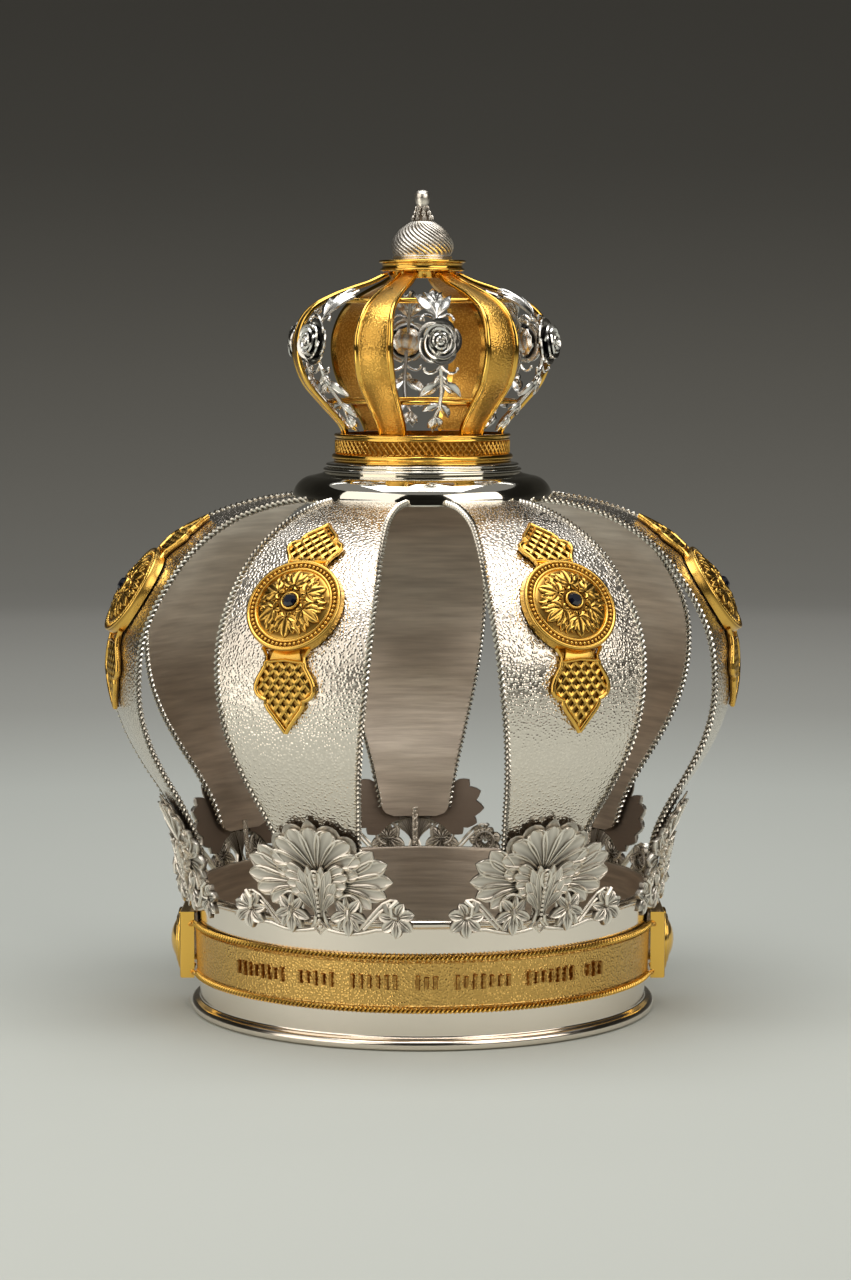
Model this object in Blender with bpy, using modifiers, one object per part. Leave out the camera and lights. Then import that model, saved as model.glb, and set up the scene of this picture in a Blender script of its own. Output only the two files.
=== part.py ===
"""A silver and gold crown for a Torah scroll, built piece by piece.

Lengths below are in millimetres and become metres where a mesh is made.  The crown's axis is Z,
its foot stands on z = 0 and its front faces -Y.  Heights below count from a level a little above the
foot, and every finished piece is raised by that much.  An azimuth is an angle about the axis in
degrees, 0 at the front and growing towards +X.
"""

import math

import bmesh
import bpy
from mathutils import Vector

MM = 0.001
GAP = 0.3
# Clearance of a piece whose flat facets lie over a curved sheet.
FACET_GAP = 1.0

# The level that heights count from, above the foot's underside.
LEVEL = 5.0

# Drum: the plain silver ring at the bottom, open above and below.
FOOT_RADIUS = 112.2
DRUM_BOTTOM_RADIUS = 107.6
DRUM_TOP_RADIUS = 109.2
DRUM_BOTTOM_HEIGHT = 1.8
DRUM_TOP_HEIGHT = 51.0
DRUM_INNER_RADIUS = 105.2
RIM_TOP = 55.1

# Gold bands that clasp the drum, and the plaques that cover their ends.
BAND_LOW = 12.3
BAND_HIGH = 39.0
BAND_REACH = 79.0
BAND_GROUND = 1.9
BAND_BORDER = 3.0
PLAQUE_SIZE = (39.0, 7.0, 32.0)
PLAQUE_HEIGHT = 27.1
PLAQUE_FRONT_RADIUS = 116.4
BOSS_RADIUS = 15.0
STROKE_HEIGHT = 26.5
STROKE_TALL = 8.4
STROKE_RAISE = 0.7
STROKE_REACH = 50.0
STROKE_COUNT = 11

# Seven staves, each with its palmette, medallion and stone.
STAVE_COUNT = 7
STAVE_TURN = 2.0
STAVE_SHEET = 1.6
STAVE_EDGE = 1.3
STAVE_CURVE = (
    (113.2, 70.0),
    (117.2, 85.0),
    (125.0, 100.0),
    (134.6, 115.0),
    (142.6, 130.0),
    (147.8, 146.0),
    (149.2, 163.0),
    (147.0, 180.0),
    (138.8, 198.0),
    (123.0, 218.0),
    (102.0, 232.0),
    (80.0, 239.3),
    (63.6, 241.6),
)
STAVE_HALF_WIDTH = (
    (70.0, 17.6),
    (76.0, 19.2),
    (90.0, 21.4),
    (110.0, 27.0),
    (140.0, 34.8),
    (172.0, 39.2),
    (200.0, 38.0),
    (222.0, 32.6),
    (236.0, 24.6),
    (242.0, 20.3),
)
TONGUE_HALF_WIDTH = 1.6
TONGUE_LINE = ((109.5, RIM_TOP + GAP), (112.2, 72.5))
PALMETTE_LOW = 48.4
PALMETTE_HIGH = 102.0
PALMETTE_LOW_RADIUS = 112.1
PALMETTE_FLARE = 15.6
# The casting is flatter than the drum, so its wings stand off; this much at the reach of a cluster.
PALMETTE_SPREAD = 2.8
PALMETTE_ROOT = 76.0
PALMETTE_TIPS = ((5.4, 102.0), (17.6, 96.6), (27.6, 88.4), (37.4, 76.6), (31.0, 64.0))
CLUSTER_REACH = 36.4
CLUSTER_HEIGHT = 57.2
CLUSTER_RADIUS = 9.0
MEDALLION_HEIGHT = 198.0
MEDALLION_RADIUS = 22.6
MEDALLION_FACE = 3.4
MEDALLION_DOME = (12.0, 6.0)
BEZEL = (3.9, 7.6)
STONE_RADIUS = 2.9
STONE_TOP = (1.7, 9.6)
CARTOUCHE_RAISE = 3.4
CARTOUCHE_LOWER = ((-19.0, 9.5), (-31.0, 10.8), (-39.5, 13.6), (-44.5, 9.6), (-54.5, 0.6))
CARTOUCHE_UPPER = ((19.0, 9.5), (34.0, 12.4), (39.5, 9.0), (48.0, 0.6))

# Shoulder collar and the small crown that stands on it.
COLLAR_RADIUS = 62.4
COLLAR_TOP = 257.5
SMALL_BAND_TOP = 271.6
RIB_COUNT = 6
RIB_TURN = -22.0
GARLAND_TURN = 8.0
RIB_SHEET = 1.2
RIB_CURVE = (
    (37.9, 271.9),
    (40.2, 276.6),
    (48.9, 286.2),
    (57.3, 296.7),
    (61.3, 310.0),
    (59.4, 322.4),
    (53.4, 331.2),
    (43.2, 337.0),
    (33.6, 340.7),
    (25.0, 343.6),
    (17.6, 347.2),
)
RIB_HALF_WIDTH = (
    (271.0, 6.8),
    (284.0, 8.2),
    (300.0, 9.8),
    (318.0, 9.9),
    (334.0, 7.6),
    (344.0, 5.2),
    (349.0, 4.4),
)
GARLAND_SWAY = 1.4
GARLAND_WAVE = 80.0
GARLAND_TOP = 340.0
ROSE_HEIGHT = 315.0
STEM_RADIUS = 1.0
HOOP_HEIGHTS = (287.0, 334.6)
HOOP_WIRE = 2.0
# How far a hoop stands behind the sloping ribs, past their sheet and the gap.
HOOP_BACK = 2.8
TOP_PLATE_LOW = 348.4
TOP_PLATE_HIGH = 353.8
TOP_PLATE_RADIUS = 20.7
# The finial's ball carries spiral flutes, which turn by so many degrees for each millimetre up.
FLUTES = 10
FLUTE_TWIST = -5.0
FLUTED_LOW = 357.0
FLUTED_HIGH = 380.0

SILVER = (0.80, 0.80, 0.78)
CAST_SILVER = (0.72, 0.72, 0.69)
GOLD = (0.83, 0.60, 0.22)
STONE = (0.01, 0.012, 0.03)


def clear_scene():
    for old in list(bpy.data.objects):
        bpy.data.objects.remove(old, do_unlink=True)


def collection(name):
    group = bpy.data.collections.new(name)
    bpy.context.scene.collection.children.link(group)
    return group


def material(name, colour, roughness, metallic):
    finish = bpy.data.materials.new(name)
    finish.use_nodes = True
    shader = finish.node_tree.nodes["Principled BSDF"]
    shader.inputs["Base Color"].default_value = (*colour, 1.0)
    shader.inputs["Roughness"].default_value = roughness
    shader.inputs["Metallic"].default_value = metallic
    return finish


def place(name, mesh, finish, azimuth=0.0):
    """Put a mesh in the crown as one named piece, turned about the axis and raised to its level."""
    piece = bpy.data.objects.new(name, mesh)
    piece.location.z = LEVEL * MM
    piece.rotation_euler.z = math.radians(azimuth)
    piece.data.materials.clear()
    piece.data.materials.append(finish)
    CROWN.objects.link(piece)
    return piece


def ring_of(count, turn):
    """Azimuths of evenly spaced pieces, numbered from the first one."""
    step = 360.0 / count
    return [(number + 1, turn + step * number) for number in range(count)]


# ---------------------------------------------------------------------------------------------
# Shape helpers
# ---------------------------------------------------------------------------------------------


def cylindrical(radius, angle, height):
    """A point in metres from a radius and height in millimetres and an angle in radians."""
    return Vector((radius * math.sin(angle), -radius * math.cos(angle), height)) * MM


def value_at(table, height):
    """Read a table of (height, value) rows, running straight from each row to the next."""
    if height <= table[0][0]:
        return table[0][1]
    for (low, first), (high, second) in zip(table, table[1:]):
        if height <= high:
            part = (height - low) / (high - low)
            return first + (second - first) * part
    return table[-1][1]


class Meridian:
    """A smooth curve through (radius, height) points, read by its length from the first point."""

    STEPS = 16

    def __init__(self, points):
        ends = [points[0], *points, points[-1]]
        self.line = [Vector(points[0])]
        for before, start, stop, after in zip(ends, ends[1:], ends[2:], ends[3:]):
            self.line += self.span(Vector(before), Vector(start), Vector(stop), Vector(after))
        self.lengths = [0.0]
        for start, stop in zip(self.line, self.line[1:]):
            self.lengths.append(self.lengths[-1] + (stop - start).length)

    def span(self, before, start, stop, after):
        out = []
        for step in range(1, self.STEPS + 1):
            t = step / self.STEPS
            leave = (stop - before) * 0.5
            arrive = (after - start) * 0.5
            out.append(
                start * (2 * t**3 - 3 * t**2 + 1)
                + leave * (t**3 - 2 * t**2 + t)
                + stop * (3 * t**2 - 2 * t**3)
                + arrive * (t**3 - t**2)
            )
        return out

    @property
    def length(self):
        return self.lengths[-1]

    def at(self, distance):
        """The point at a distance along the curve, and the unit normal that points outward."""
        index = 1
        while index < len(self.lengths) - 1 and self.lengths[index] < distance:
            index += 1
        start, stop = self.line[index - 1], self.line[index]
        run = self.lengths[index] - self.lengths[index - 1]
        point = start + (stop - start) * ((distance - self.lengths[index - 1]) / run)
        along = (stop - start).normalized()
        return point, Vector((along.y, -along.x))

    def distance_at(self, height):
        """The distance along the curve where it first reaches a height."""
        for index, point in enumerate(self.line[1:], start=1):
            if point.y >= height:
                start = self.line[index - 1]
                part = (height - start.y) / (point.y - start.y)
                return self.lengths[index - 1] + part * (self.lengths[index] - self.lengths[index - 1])
        return self.length

    def place(self, across, distance, lift):
        """A point on the turned surface: across it, along it, and lifted off it."""
        point, normal = self.at(distance)
        lifted = point + normal * lift
        return cylindrical(lifted.x, across / point.x, lifted.y)


def turned(name, profile, steps):
    """Turn a profile of (radius, height) points about the axis, as a mesh.

    The profile runs down the outer side.  One that starts on the axis ends on it too, and any
    other closes on itself.
    """
    bm = bmesh.new()
    verts = [bm.verts.new((radius * MM, 0.0, height * MM)) for radius, height in profile]
    for start, stop in zip(verts, verts[1:]):
        bm.edges.new((start, stop))
    if profile[0][0] > 0.0:
        bm.edges.new((verts[-1], verts[0]))
    outline = bpy.data.meshes.new(name)
    bm.to_mesh(outline)
    bm.free()
    helper = bpy.data.objects.new(name, outline)
    CUTTERS.objects.link(helper)
    screw = helper.modifiers.new("turn", "SCREW")
    screw.axis = "Z"
    screw.angle = math.tau
    screw.steps = steps
    screw.render_steps = steps
    screw.use_merge_vertices = True
    screw.merge_threshold = 0.00001
    return baked(helper)


def baked(helper):
    """The evaluated mesh of a helper object, which is then removed."""
    graph = bpy.context.evaluated_depsgraph_get()
    graph.update()
    mesh = bpy.data.meshes.new_from_object(helper.evaluated_get(graph))
    mesh.name = helper.name
    bpy.data.objects.remove(helper, do_unlink=True)
    return mesh


def shaded(mesh, angle=35.0):
    mesh.shade_smooth()
    mesh.set_sharp_from_angle(angle=math.radians(angle))
    return mesh


def loft(name, rings, split=None, back_centre=None):
    """Skin closed rings of equal size and cap both ends.

    A cap that bends round the axis is split between the two ring places given, and a first cap
    that lies over a bulge is a fan to the centre given.
    """
    bm = bmesh.new()
    rows = [[bm.verts.new(point) for point in ring] for ring in rings]
    for low, high in zip(rows, rows[1:]):
        for start in range(len(low)):
            stop = (start + 1) % len(low)
            bm.faces.new((low[start], low[stop], high[stop], high[start]))
    for row in (rows[0], rows[-1]):
        face = bm.faces.new(row)
        if split:
            bmesh.utils.face_split(face, row[split[0]], row[split[1]])
        elif back_centre and row is rows[0]:
            bmesh.ops.poke(bm, faces=[face])["verts"][0].co = back_centre
    bmesh.ops.recalc_face_normals(bm, faces=bm.faces)
    mesh = bpy.data.meshes.new(name)
    bm.to_mesh(mesh)
    bm.free()
    return mesh


def fused(name, meshes):
    """One closed body from meshes that overlap where they touch."""
    base = bpy.data.objects.new(name, meshes[0])
    CROWN.objects.link(base)
    helpers = []
    for mesh in meshes[1:]:
        helper = bpy.data.objects.new(name + "_join", mesh)
        helper.hide_render = True
        helper.display_type = "WIRE"
        CUTTERS.objects.link(helper)
        helpers.append(helper)
        join = base.modifiers.new("join", "BOOLEAN")
        join.operation = "UNION"
        join.solver = "EXACT"
        join.object = helper
    mesh = baked(base)
    for helper in helpers:
        bpy.data.objects.remove(helper, do_unlink=True)
    return mesh


def drum_radius(height):
    rise = (height - DRUM_BOTTOM_HEIGHT) / (DRUM_TOP_HEIGHT - DRUM_BOTTOM_HEIGHT)
    return DRUM_BOTTOM_RADIUS + (DRUM_TOP_RADIUS - DRUM_BOTTOM_RADIUS) * rise


# ---------------------------------------------------------------------------------------------
# Drum, bands and plaques
# ---------------------------------------------------------------------------------------------


def make_drum():
    profile = (
        (108.6, RIM_TOP),
        (111.0, 54.4),
        (111.5, 52.6),
        (DRUM_TOP_RADIUS, DRUM_TOP_HEIGHT),
        (DRUM_BOTTOM_RADIUS, DRUM_BOTTOM_HEIGHT),
        (109.8, 0.2),
        (FOOT_RADIUS, -1.2),
        (FOOT_RADIUS, -3.6),
        (111.0, -LEVEL),
        (DRUM_INNER_RADIUS, -LEVEL),
        (107.5, 52.0),
    )
    mesh = turned("base_drum", profile, 34)
    place("base_drum", shaded(mesh), material("polished_silver", SILVER, 0.12, 1.0))


def band_section(angle):
    """The band's outline across its height, at one angle round the drum."""
    inner = 0.5
    outline = (
        (inner, BAND_HIGH),
        (BAND_BORDER - 0.9, BAND_HIGH),
        (BAND_BORDER, BAND_HIGH - 1.2),
        (BAND_GROUND, BAND_HIGH - 2.5),
        (BAND_GROUND, BAND_LOW + 2.5),
        (BAND_BORDER, BAND_LOW + 1.2),
        (BAND_BORDER - 0.9, BAND_LOW),
        (inner, BAND_LOW),
    )
    return [cylindrical(drum_radius(z) + out, angle, z) for out, z in outline]


def make_stroke(number):
    """One short raised bar of the inscription's row, leaning a little one way or the other."""
    part = number / (STROKE_COUNT - 1)
    angle = math.radians(STROKE_REACH * (2.0 * part - 1.0))
    tall = STROKE_TALL * (1.0, 0.55, 0.8)[number % 3]
    top = STROKE_HEIGHT + STROKE_TALL / 2
    lean = math.radians((0.35, -0.5, 0.0, 0.6)[number % 4])
    half = math.radians(0.55 + 0.35 * (number % 2))
    rings = []
    for height, shift in ((top, 0.0), (top - tall, lean)):
        radius = drum_radius(height) + BAND_GROUND
        corners = ((-half, -0.8), (half, -0.8), (half, STROKE_RAISE), (-half, STROKE_RAISE))
        rings.append([cylindrical(radius + out, angle + shift + side, height) for side, out in corners])
    return loft("stroke", rings)


def make_bands():
    gold = material("stippled_gold_band", GOLD, 0.32, 1.0)
    steps = 20
    reach = math.radians(BAND_REACH)
    rings = [band_section(-reach + 2 * reach * step / steps) for step in range(steps + 1)]
    plain = loft("band_plain", rings)
    strokes = [make_stroke(number) for number in range(STROKE_COUNT)]
    place("inscription_band_front", shaded(fused("band_front", [plain.copy(), *strokes])), gold)
    place("inscription_band_back", shaded(plain), gold.copy(), 180.0)


def make_plaques():
    bm = bmesh.new()
    bmesh.ops.create_cube(bm, size=1.0)
    for vert in bm.verts:
        vert.co = Vector([vert.co[axis] * PLAQUE_SIZE[axis] for axis in range(3)])
        vert.co.y -= PLAQUE_FRONT_RADIUS - PLAQUE_SIZE[1] / 2
        vert.co.z += PLAQUE_HEIGHT
        vert.co *= MM
    front_y = (1.0 - PLAQUE_FRONT_RADIUS) * MM
    front = [edge for edge in bm.edges if all(vert.co.y < front_y for vert in edge.verts)]
    bmesh.ops.bevel(bm, geom=front, offset=1.2 * MM, segments=1, affect="EDGES", profile=0.5, material=-1)
    plate = bpy.data.meshes.new("plate")
    bm.to_mesh(plate)
    bm.free()
    bm = bmesh.new()
    bmesh.ops.create_uvsphere(bm, u_segments=12, v_segments=6, radius=BOSS_RADIUS)
    for vert in bm.verts:
        x, y, z = vert.co
        bulge = 5.0 * z / BOSS_RADIUS
        vert.co = Vector((x, -PLAQUE_FRONT_RADIUS + 1.5 - bulge, y + PLAQUE_HEIGHT)) * MM
    bmesh.ops.recalc_face_normals(bm, faces=bm.faces)
    boss = bpy.data.meshes.new("boss")
    bm.to_mesh(boss)
    bm.free()
    mesh = shaded(fused("side_plaque", [plate, boss]))
    gold = material("polished_gold_plaque", GOLD, 0.2, 1.0)
    place("side_plaque_right", mesh, gold, 90.0)
    place("side_plaque_left", mesh.copy(), gold.copy(), -90.0)


# ---------------------------------------------------------------------------------------------
# Staves and what they carry
# ---------------------------------------------------------------------------------------------


def stave_section(curve, distance, half):
    """A stave's outline at one height: a round edging on each side of a thin sheet."""
    outer = (
        (-half + 0.8 * STAVE_EDGE, STAVE_EDGE),
        (-half + 2 * STAVE_EDGE, 0.0),
        (0.0, 0.0),
        (half - 2 * STAVE_EDGE, 0.0),
        (half - 0.8 * STAVE_EDGE, STAVE_EDGE),
    )
    inner = ((half, -STAVE_SHEET), (0.0, -STAVE_SHEET), (-half, -STAVE_SHEET))
    return [curve.place(across, distance, lift) for across, lift in (*outer, *inner)]


def make_staves():
    curve = Meridian(STAVE_CURVE)
    rows = 9
    rings = []
    for row in range(rows + 1):
        distance = curve.length * row / rows
        height = curve.at(distance)[0].y
        rings.append(stave_section(curve, distance, value_at(STAVE_HALF_WIDTH, height)))
    sheet = loft("stave_sheet", rings, (2, 6))
    foot = []
    for radius, height in TONGUE_LINE:
        side = TONGUE_HALF_WIDTH / radius
        corners = ((-side, 0.7), (side, 0.7), (side, -1.1), (-side, -1.1))
        foot.append([cylindrical(radius + out, at, height) for at, out in corners])
    mesh = shaded(fused("stave", [sheet, loft("tongue", foot)]))
    silver = material("hammered_silver", SILVER, 0.3, 1.0)
    for number, azimuth in ring_of(STAVE_COUNT, STAVE_TURN + 180.0 / STAVE_COUNT):
        place(f"stave_{number}", mesh.copy(), silver.copy(), azimuth)


def palmette_point(across, height, lift):
    """A point on the palmette's flaring back surface, lifted off it."""
    rise = (height - PALMETTE_LOW) / (PALMETTE_HIGH - PALMETTE_LOW)
    radius = PALMETTE_LOW_RADIUS + PALMETTE_FLARE * max(rise, 0.0) ** 2
    spread = PALMETTE_SPREAD * (across / CLUSTER_REACH) ** 2
    return cylindrical(radius + lift + spread, across / radius, height)


def palmette_shell():
    """The fluted fan: lobes round a root, with a raised ridge between neighbours."""
    root = Vector((0.0, PALMETTE_ROOT))
    tips = [Vector(tip) for tip in PALMETTE_TIPS]
    right = []
    for here, following in zip(tips, tips[1:]):
        right.append(here)
        right.append((here + following) * 0.5 * 0.84 + root * 0.16)
    right += [tips[-1], Vector((16.0, 68.0)), Vector((2.6, 61.0)), Vector((2.0, 51.0))]
    left = [Vector((-point.x, point.y)) for point in reversed(right)]
    corners = [Vector((0.0, 96.5)), *right, Vector((0.0, PALMETTE_LOW)), *left]
    outline = [("tip" if index % 2 else "valley", point) for index, point in enumerate(corners)]
    bm = bmesh.new()
    front = []
    back = []
    for kind, point in outline:
        lift = 2.4 if kind == "valley" else 1.3
        front.append(bm.verts.new(palmette_point(point.x, point.y, lift)))
        back.append(bm.verts.new(palmette_point(point.x, point.y, 0.0)))
    ridge = {}
    under = {}
    for index, (kind, point) in enumerate(outline):
        if kind == "valley":
            middle = point * 0.5 + root * 0.5
            ridge[index] = bm.verts.new(palmette_point(middle.x, middle.y, 3.8))
            under[index] = bm.verts.new(palmette_point(middle.x, middle.y, 0.0))
    top = bm.verts.new(palmette_point(root.x, root.y, 4.6))
    bottom = bm.verts.new(palmette_point(root.x, root.y, 0.0))
    count = len(outline)
    for index in range(count):
        following = (index + 1) % count
        bm.faces.new((front[index], front[following], back[following], back[index]))
        if outline[index][0] == "valley":
            last = (index + 2) % count
            bm.faces.new((front[index], ridge[index], front[following]))
            bm.faces.new((front[following], ridge[index], ridge[last]))
            bm.faces.new((front[following], ridge[last], front[last]))
            bm.faces.new((ridge[index], top, ridge[last]))
            bm.faces.new((back[index], back[following], under[index]))
            bm.faces.new((back[following], under[last], under[index]))
            bm.faces.new((back[following], back[last], under[last]))
            bm.faces.new((under[index], under[last], bottom))
    bmesh.ops.recalc_face_normals(bm, faces=bm.faces)
    mesh = bpy.data.meshes.new("shell")
    bm.to_mesh(mesh)
    bm.free()
    return mesh


def palmette_knob(across, height, radius):
    """A low cone on the palmette's surface: the round cluster of leaves beside the stem."""
    sides = 6
    edge = 1.8
    top = 4.2
    bm = bmesh.new()
    low = []
    high = []
    for side in range(sides):
        angle = math.tau * (side + 0.5) / sides
        u = across + radius * math.cos(angle)
        z = height + radius * math.sin(angle)
        low.append(bm.verts.new(palmette_point(u, z, 0.0)))
        high.append(bm.verts.new(palmette_point(u, z, edge)))
    peak = bm.verts.new(palmette_point(across, height, top))
    for start in range(sides):
        stop = (start + 1) % sides
        bm.faces.new((low[start], low[stop], high[stop], high[start]))
        bm.faces.new((high[start], high[stop], peak))
    bm.faces.new(low)
    bmesh.ops.recalc_face_normals(bm, faces=bm.faces)
    mesh = bpy.data.meshes.new("knob")
    bm.to_mesh(mesh)
    bm.free()
    return mesh


def palmette_rail(reach, low, high, raised):
    """The level wire along the palmette's foot, which joins its stem to the round clusters."""
    rings = []
    for across in (-reach, -reach / 2, 0.0, reach / 2, reach):
        rings.append([
            palmette_point(across, low, 0.0),
            palmette_point(across, high, 0.0),
            palmette_point(across, high, raised),
            palmette_point(across, low, raised),
        ])
    return loft("rail", rings)


def make_palmettes():
    pieces = [palmette_shell(), palmette_rail(32.0, 50.6, 54.0, 1.7)]
    for side in (-1, 1):
        pieces.append(palmette_knob(side * CLUSTER_REACH, CLUSTER_HEIGHT, CLUSTER_RADIUS))
    mesh = fused("palmette", pieces)
    silver = material("cast_silver", CAST_SILVER, 0.34, 1.0)
    for number, azimuth in ring_of(STAVE_COUNT, STAVE_TURN + 180.0 / STAVE_COUNT):
        place(f"palmette_{number}", mesh.copy(), silver.copy(), azimuth)


def medallion_frame():
    """Centre, across, up and outward directions of the medallion on a stave at the front."""
    curve = Meridian(STAVE_CURVE)
    distance = curve.distance_at(MEDALLION_HEIGHT)
    point, normal = curve.at(distance)
    outward = Vector((0.0, -normal.x, normal.y))
    up = Vector((0.0, normal.y, normal.x))
    return curve, distance, cylindrical(point.x, 0.0, point.y), up, outward


def flat_ring(centre, up, outward, radius, lift, sides):
    """Points of a circle in the medallion's plane, lifted off the stave."""
    ring = []
    for side in range(sides):
        angle = math.tau * side / sides
        across = Vector((math.cos(angle), 0.0, 0.0)) * radius
        ring.append(centre + (across + up * (radius * math.sin(angle)) + outward * lift) * MM)
    return ring


def medallion_disc(curve, distance, centre, up, outward):
    """A disc whose back follows the stave and whose face is a low dome with a raised bezel."""
    sides = 12
    back = []
    for side in range(sides):
        angle = math.tau * side / sides
        along = distance + MEDALLION_RADIUS * math.sin(angle)
        back.append(curve.place(MEDALLION_RADIUS * math.cos(angle), along, FACET_GAP))
    rings = [back]
    for radius, lift in ((MEDALLION_RADIUS, MEDALLION_FACE), MEDALLION_DOME, BEZEL):
        rings.append(flat_ring(centre, up, outward, radius, lift, sides))
    return loft("disc", rings, back_centre=curve.place(0.0, distance, FACET_GAP))


def cartouche(curve, distance, rows):
    """A plate that follows the stave, from rows of (distance along, half width)."""
    rings = []
    for along, half in rows:
        at = distance + along
        rings.append([
            curve.place(-half, at, FACET_GAP),
            curve.place(half, at, FACET_GAP),
            curve.place(half, at, CARTOUCHE_RAISE),
            curve.place(-half, at, CARTOUCHE_RAISE),
        ])
    return loft("cartouche", rings)


def make_medallions():
    curve, distance, centre, up, outward = medallion_frame()
    mesh = fused("medallion", [
        medallion_disc(curve, distance, centre, up, outward),
        cartouche(curve, distance, CARTOUCHE_LOWER),
        cartouche(curve, distance, CARTOUCHE_UPPER),
    ])
    gold = material("chased_gold", GOLD, 0.26, 1.0)
    gem = []
    for radius, lift in ((STONE_RADIUS, BEZEL[1] + GAP), STONE_TOP):
        gem.append(flat_ring(centre, up, outward, radius, lift, 8))
    stone = loft("stone", gem)
    dark = material("dark_stone", STONE, 0.05, 0.0)
    for number, azimuth in ring_of(STAVE_COUNT, STAVE_TURN + 180.0 / STAVE_COUNT):
        place(f"medallion_{number}", mesh.copy(), gold.copy(), azimuth)
        place(f"stone_{number}", stone.copy(), dark.copy(), azimuth)


# ---------------------------------------------------------------------------------------------
# Collar, small crown and finial
# ---------------------------------------------------------------------------------------------


def make_collar():
    profile = (
        (0.0, COLLAR_TOP),
        (46.4, COLLAR_TOP),
        (47.4, 255.6),
        (46.6, 253.4),
        (54.0, 251.0),
        (59.6, 246.8),
        (COLLAR_RADIUS, 242.2),
        (61.6, 239.2),
        (60.2, 239.6),
        (57.4, 245.2),
        (51.5, 249.0),
        (44.0, 251.4),
        (43.6, 255.7),
        (0.0, 255.7),
    )
    mesh = turned("collar", profile, 26)
    place("collar", shaded(mesh), material("mirror_silver", SILVER, 0.05, 1.0))


def make_small_band():
    low = COLLAR_TOP + GAP
    profile = (
        (41.0, SMALL_BAND_TOP),
        (42.5, 270.2),
        (41.2, 268.8),
        (41.2, 261.8),
        (43.2, 260.0),
        (43.0, low),
        (38.8, low),
        (38.8, SMALL_BAND_TOP),
    )
    mesh = turned("small_band", profile, 24)
    place("small_band", shaded(mesh), material("gold_band", GOLD, 0.25, 1.0))


def rib_section(curve, distance, half):
    outer = (
        (-half + 0.8, 0.9),
        (-half + 2.0, 0.0),
        (half - 2.0, 0.0),
        (half - 0.8, 0.9),
    )
    inner = ((half, -RIB_SHEET), (-half, -RIB_SHEET))
    return [curve.place(across, distance, lift) for across, lift in (*outer, *inner)]


def make_ribs():
    curve = Meridian(RIB_CURVE)
    rows = 7
    rings = []
    for row in range(rows + 1):
        distance = curve.length * row / rows
        height = curve.at(distance)[0].y
        rings.append(rib_section(curve, distance, value_at(RIB_HALF_WIDTH, height)))
    mesh = shaded(loft("small_rib", rings))
    gold = material("satin_gold", GOLD, 0.3, 1.0)
    for number, azimuth in ring_of(RIB_COUNT, RIB_TURN):
        place(f"small_rib_{number}", mesh.copy(), gold.copy(), azimuth)


def make_hoops():
    curve = Meridian(RIB_CURVE)
    gold = material("gold_hoop", GOLD, 0.2, 1.0)
    for name, height in zip(("lower", "upper"), HOOP_HEIGHTS):
        point, normal = curve.at(curve.distance_at(height))
        outer = point.x - (RIB_SHEET + GAP) / abs(normal.x) - HOOP_BACK
        half = HOOP_WIRE / 2
        profile = (
            (outer, height + half),
            (outer, height - half),
            (outer - HOOP_WIRE, height - half),
            (outer - HOOP_WIRE, height + half),
        )
        place(f"small_hoop_{name}", shaded(turned("hoop", profile, 15)), gold.copy())


def stem_sway(distance):
    """How far the garland's stem strays to the side at a distance along it."""
    return GARLAND_SWAY * math.sin(math.tau * distance / GARLAND_WAVE)


def garland_leaf(curve, distance, length, half, tilt):
    """A pointed leaf that leans off the stem, as a closed four-sided blade."""
    base = Vector((stem_sway(distance), distance))
    along = Vector((math.sin(tilt), math.cos(tilt)))
    side = Vector((along.y, -along.x))
    tip = base + along * length
    middle = base + along * (length * 0.5)
    bm = bmesh.new()
    left = bm.verts.new(curve.place(*(middle - side * half), -0.6))
    right = bm.verts.new(curve.place(*(middle + side * half), -0.6))
    top = bm.verts.new(curve.place(*middle, 1.6))
    bottom = bm.verts.new(curve.place(*middle, -1.4))
    first = bm.verts.new(curve.place(*base, 0.0))
    last = bm.verts.new(curve.place(*tip, 0.4))
    rim = (first, left, last, right)
    for index in range(4):
        bm.faces.new((rim[index], rim[(index + 1) % 4], top))
        bm.faces.new((rim[index], bottom, rim[(index + 1) % 4]))
    bmesh.ops.recalc_face_normals(bm, faces=bm.faces)
    mesh = bpy.data.meshes.new("leaf")
    bm.to_mesh(mesh)
    bm.free()
    return mesh


def garland_stem(curve, low, high):
    sides = 4
    steps = 7
    rings = []
    for step in range(steps + 1):
        distance = low + (high - low) * step / steps
        sway = stem_sway(distance)
        ring = []
        for side in range(sides):
            angle = math.tau * side / sides
            across = sway + STEM_RADIUS * math.cos(angle)
            ring.append(curve.place(across, distance, STEM_RADIUS * math.sin(angle)))
        rings.append(ring)
    return loft("stem", rings)


def garland_rose(curve, distance):
    """The open rose: a low dome of petals round a raised heart."""
    sides = 7
    rings = []
    for radius, lift in ((6.0, -2.0), (9.6, 2.8), (5.0, 8.0)):
        ring = []
        for side in range(sides):
            angle = math.tau * side / sides
            ring.append(curve.place(radius * math.cos(angle), distance + radius * math.sin(angle), lift))
        rings.append(ring)
    return loft("rose", rings)


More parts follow.
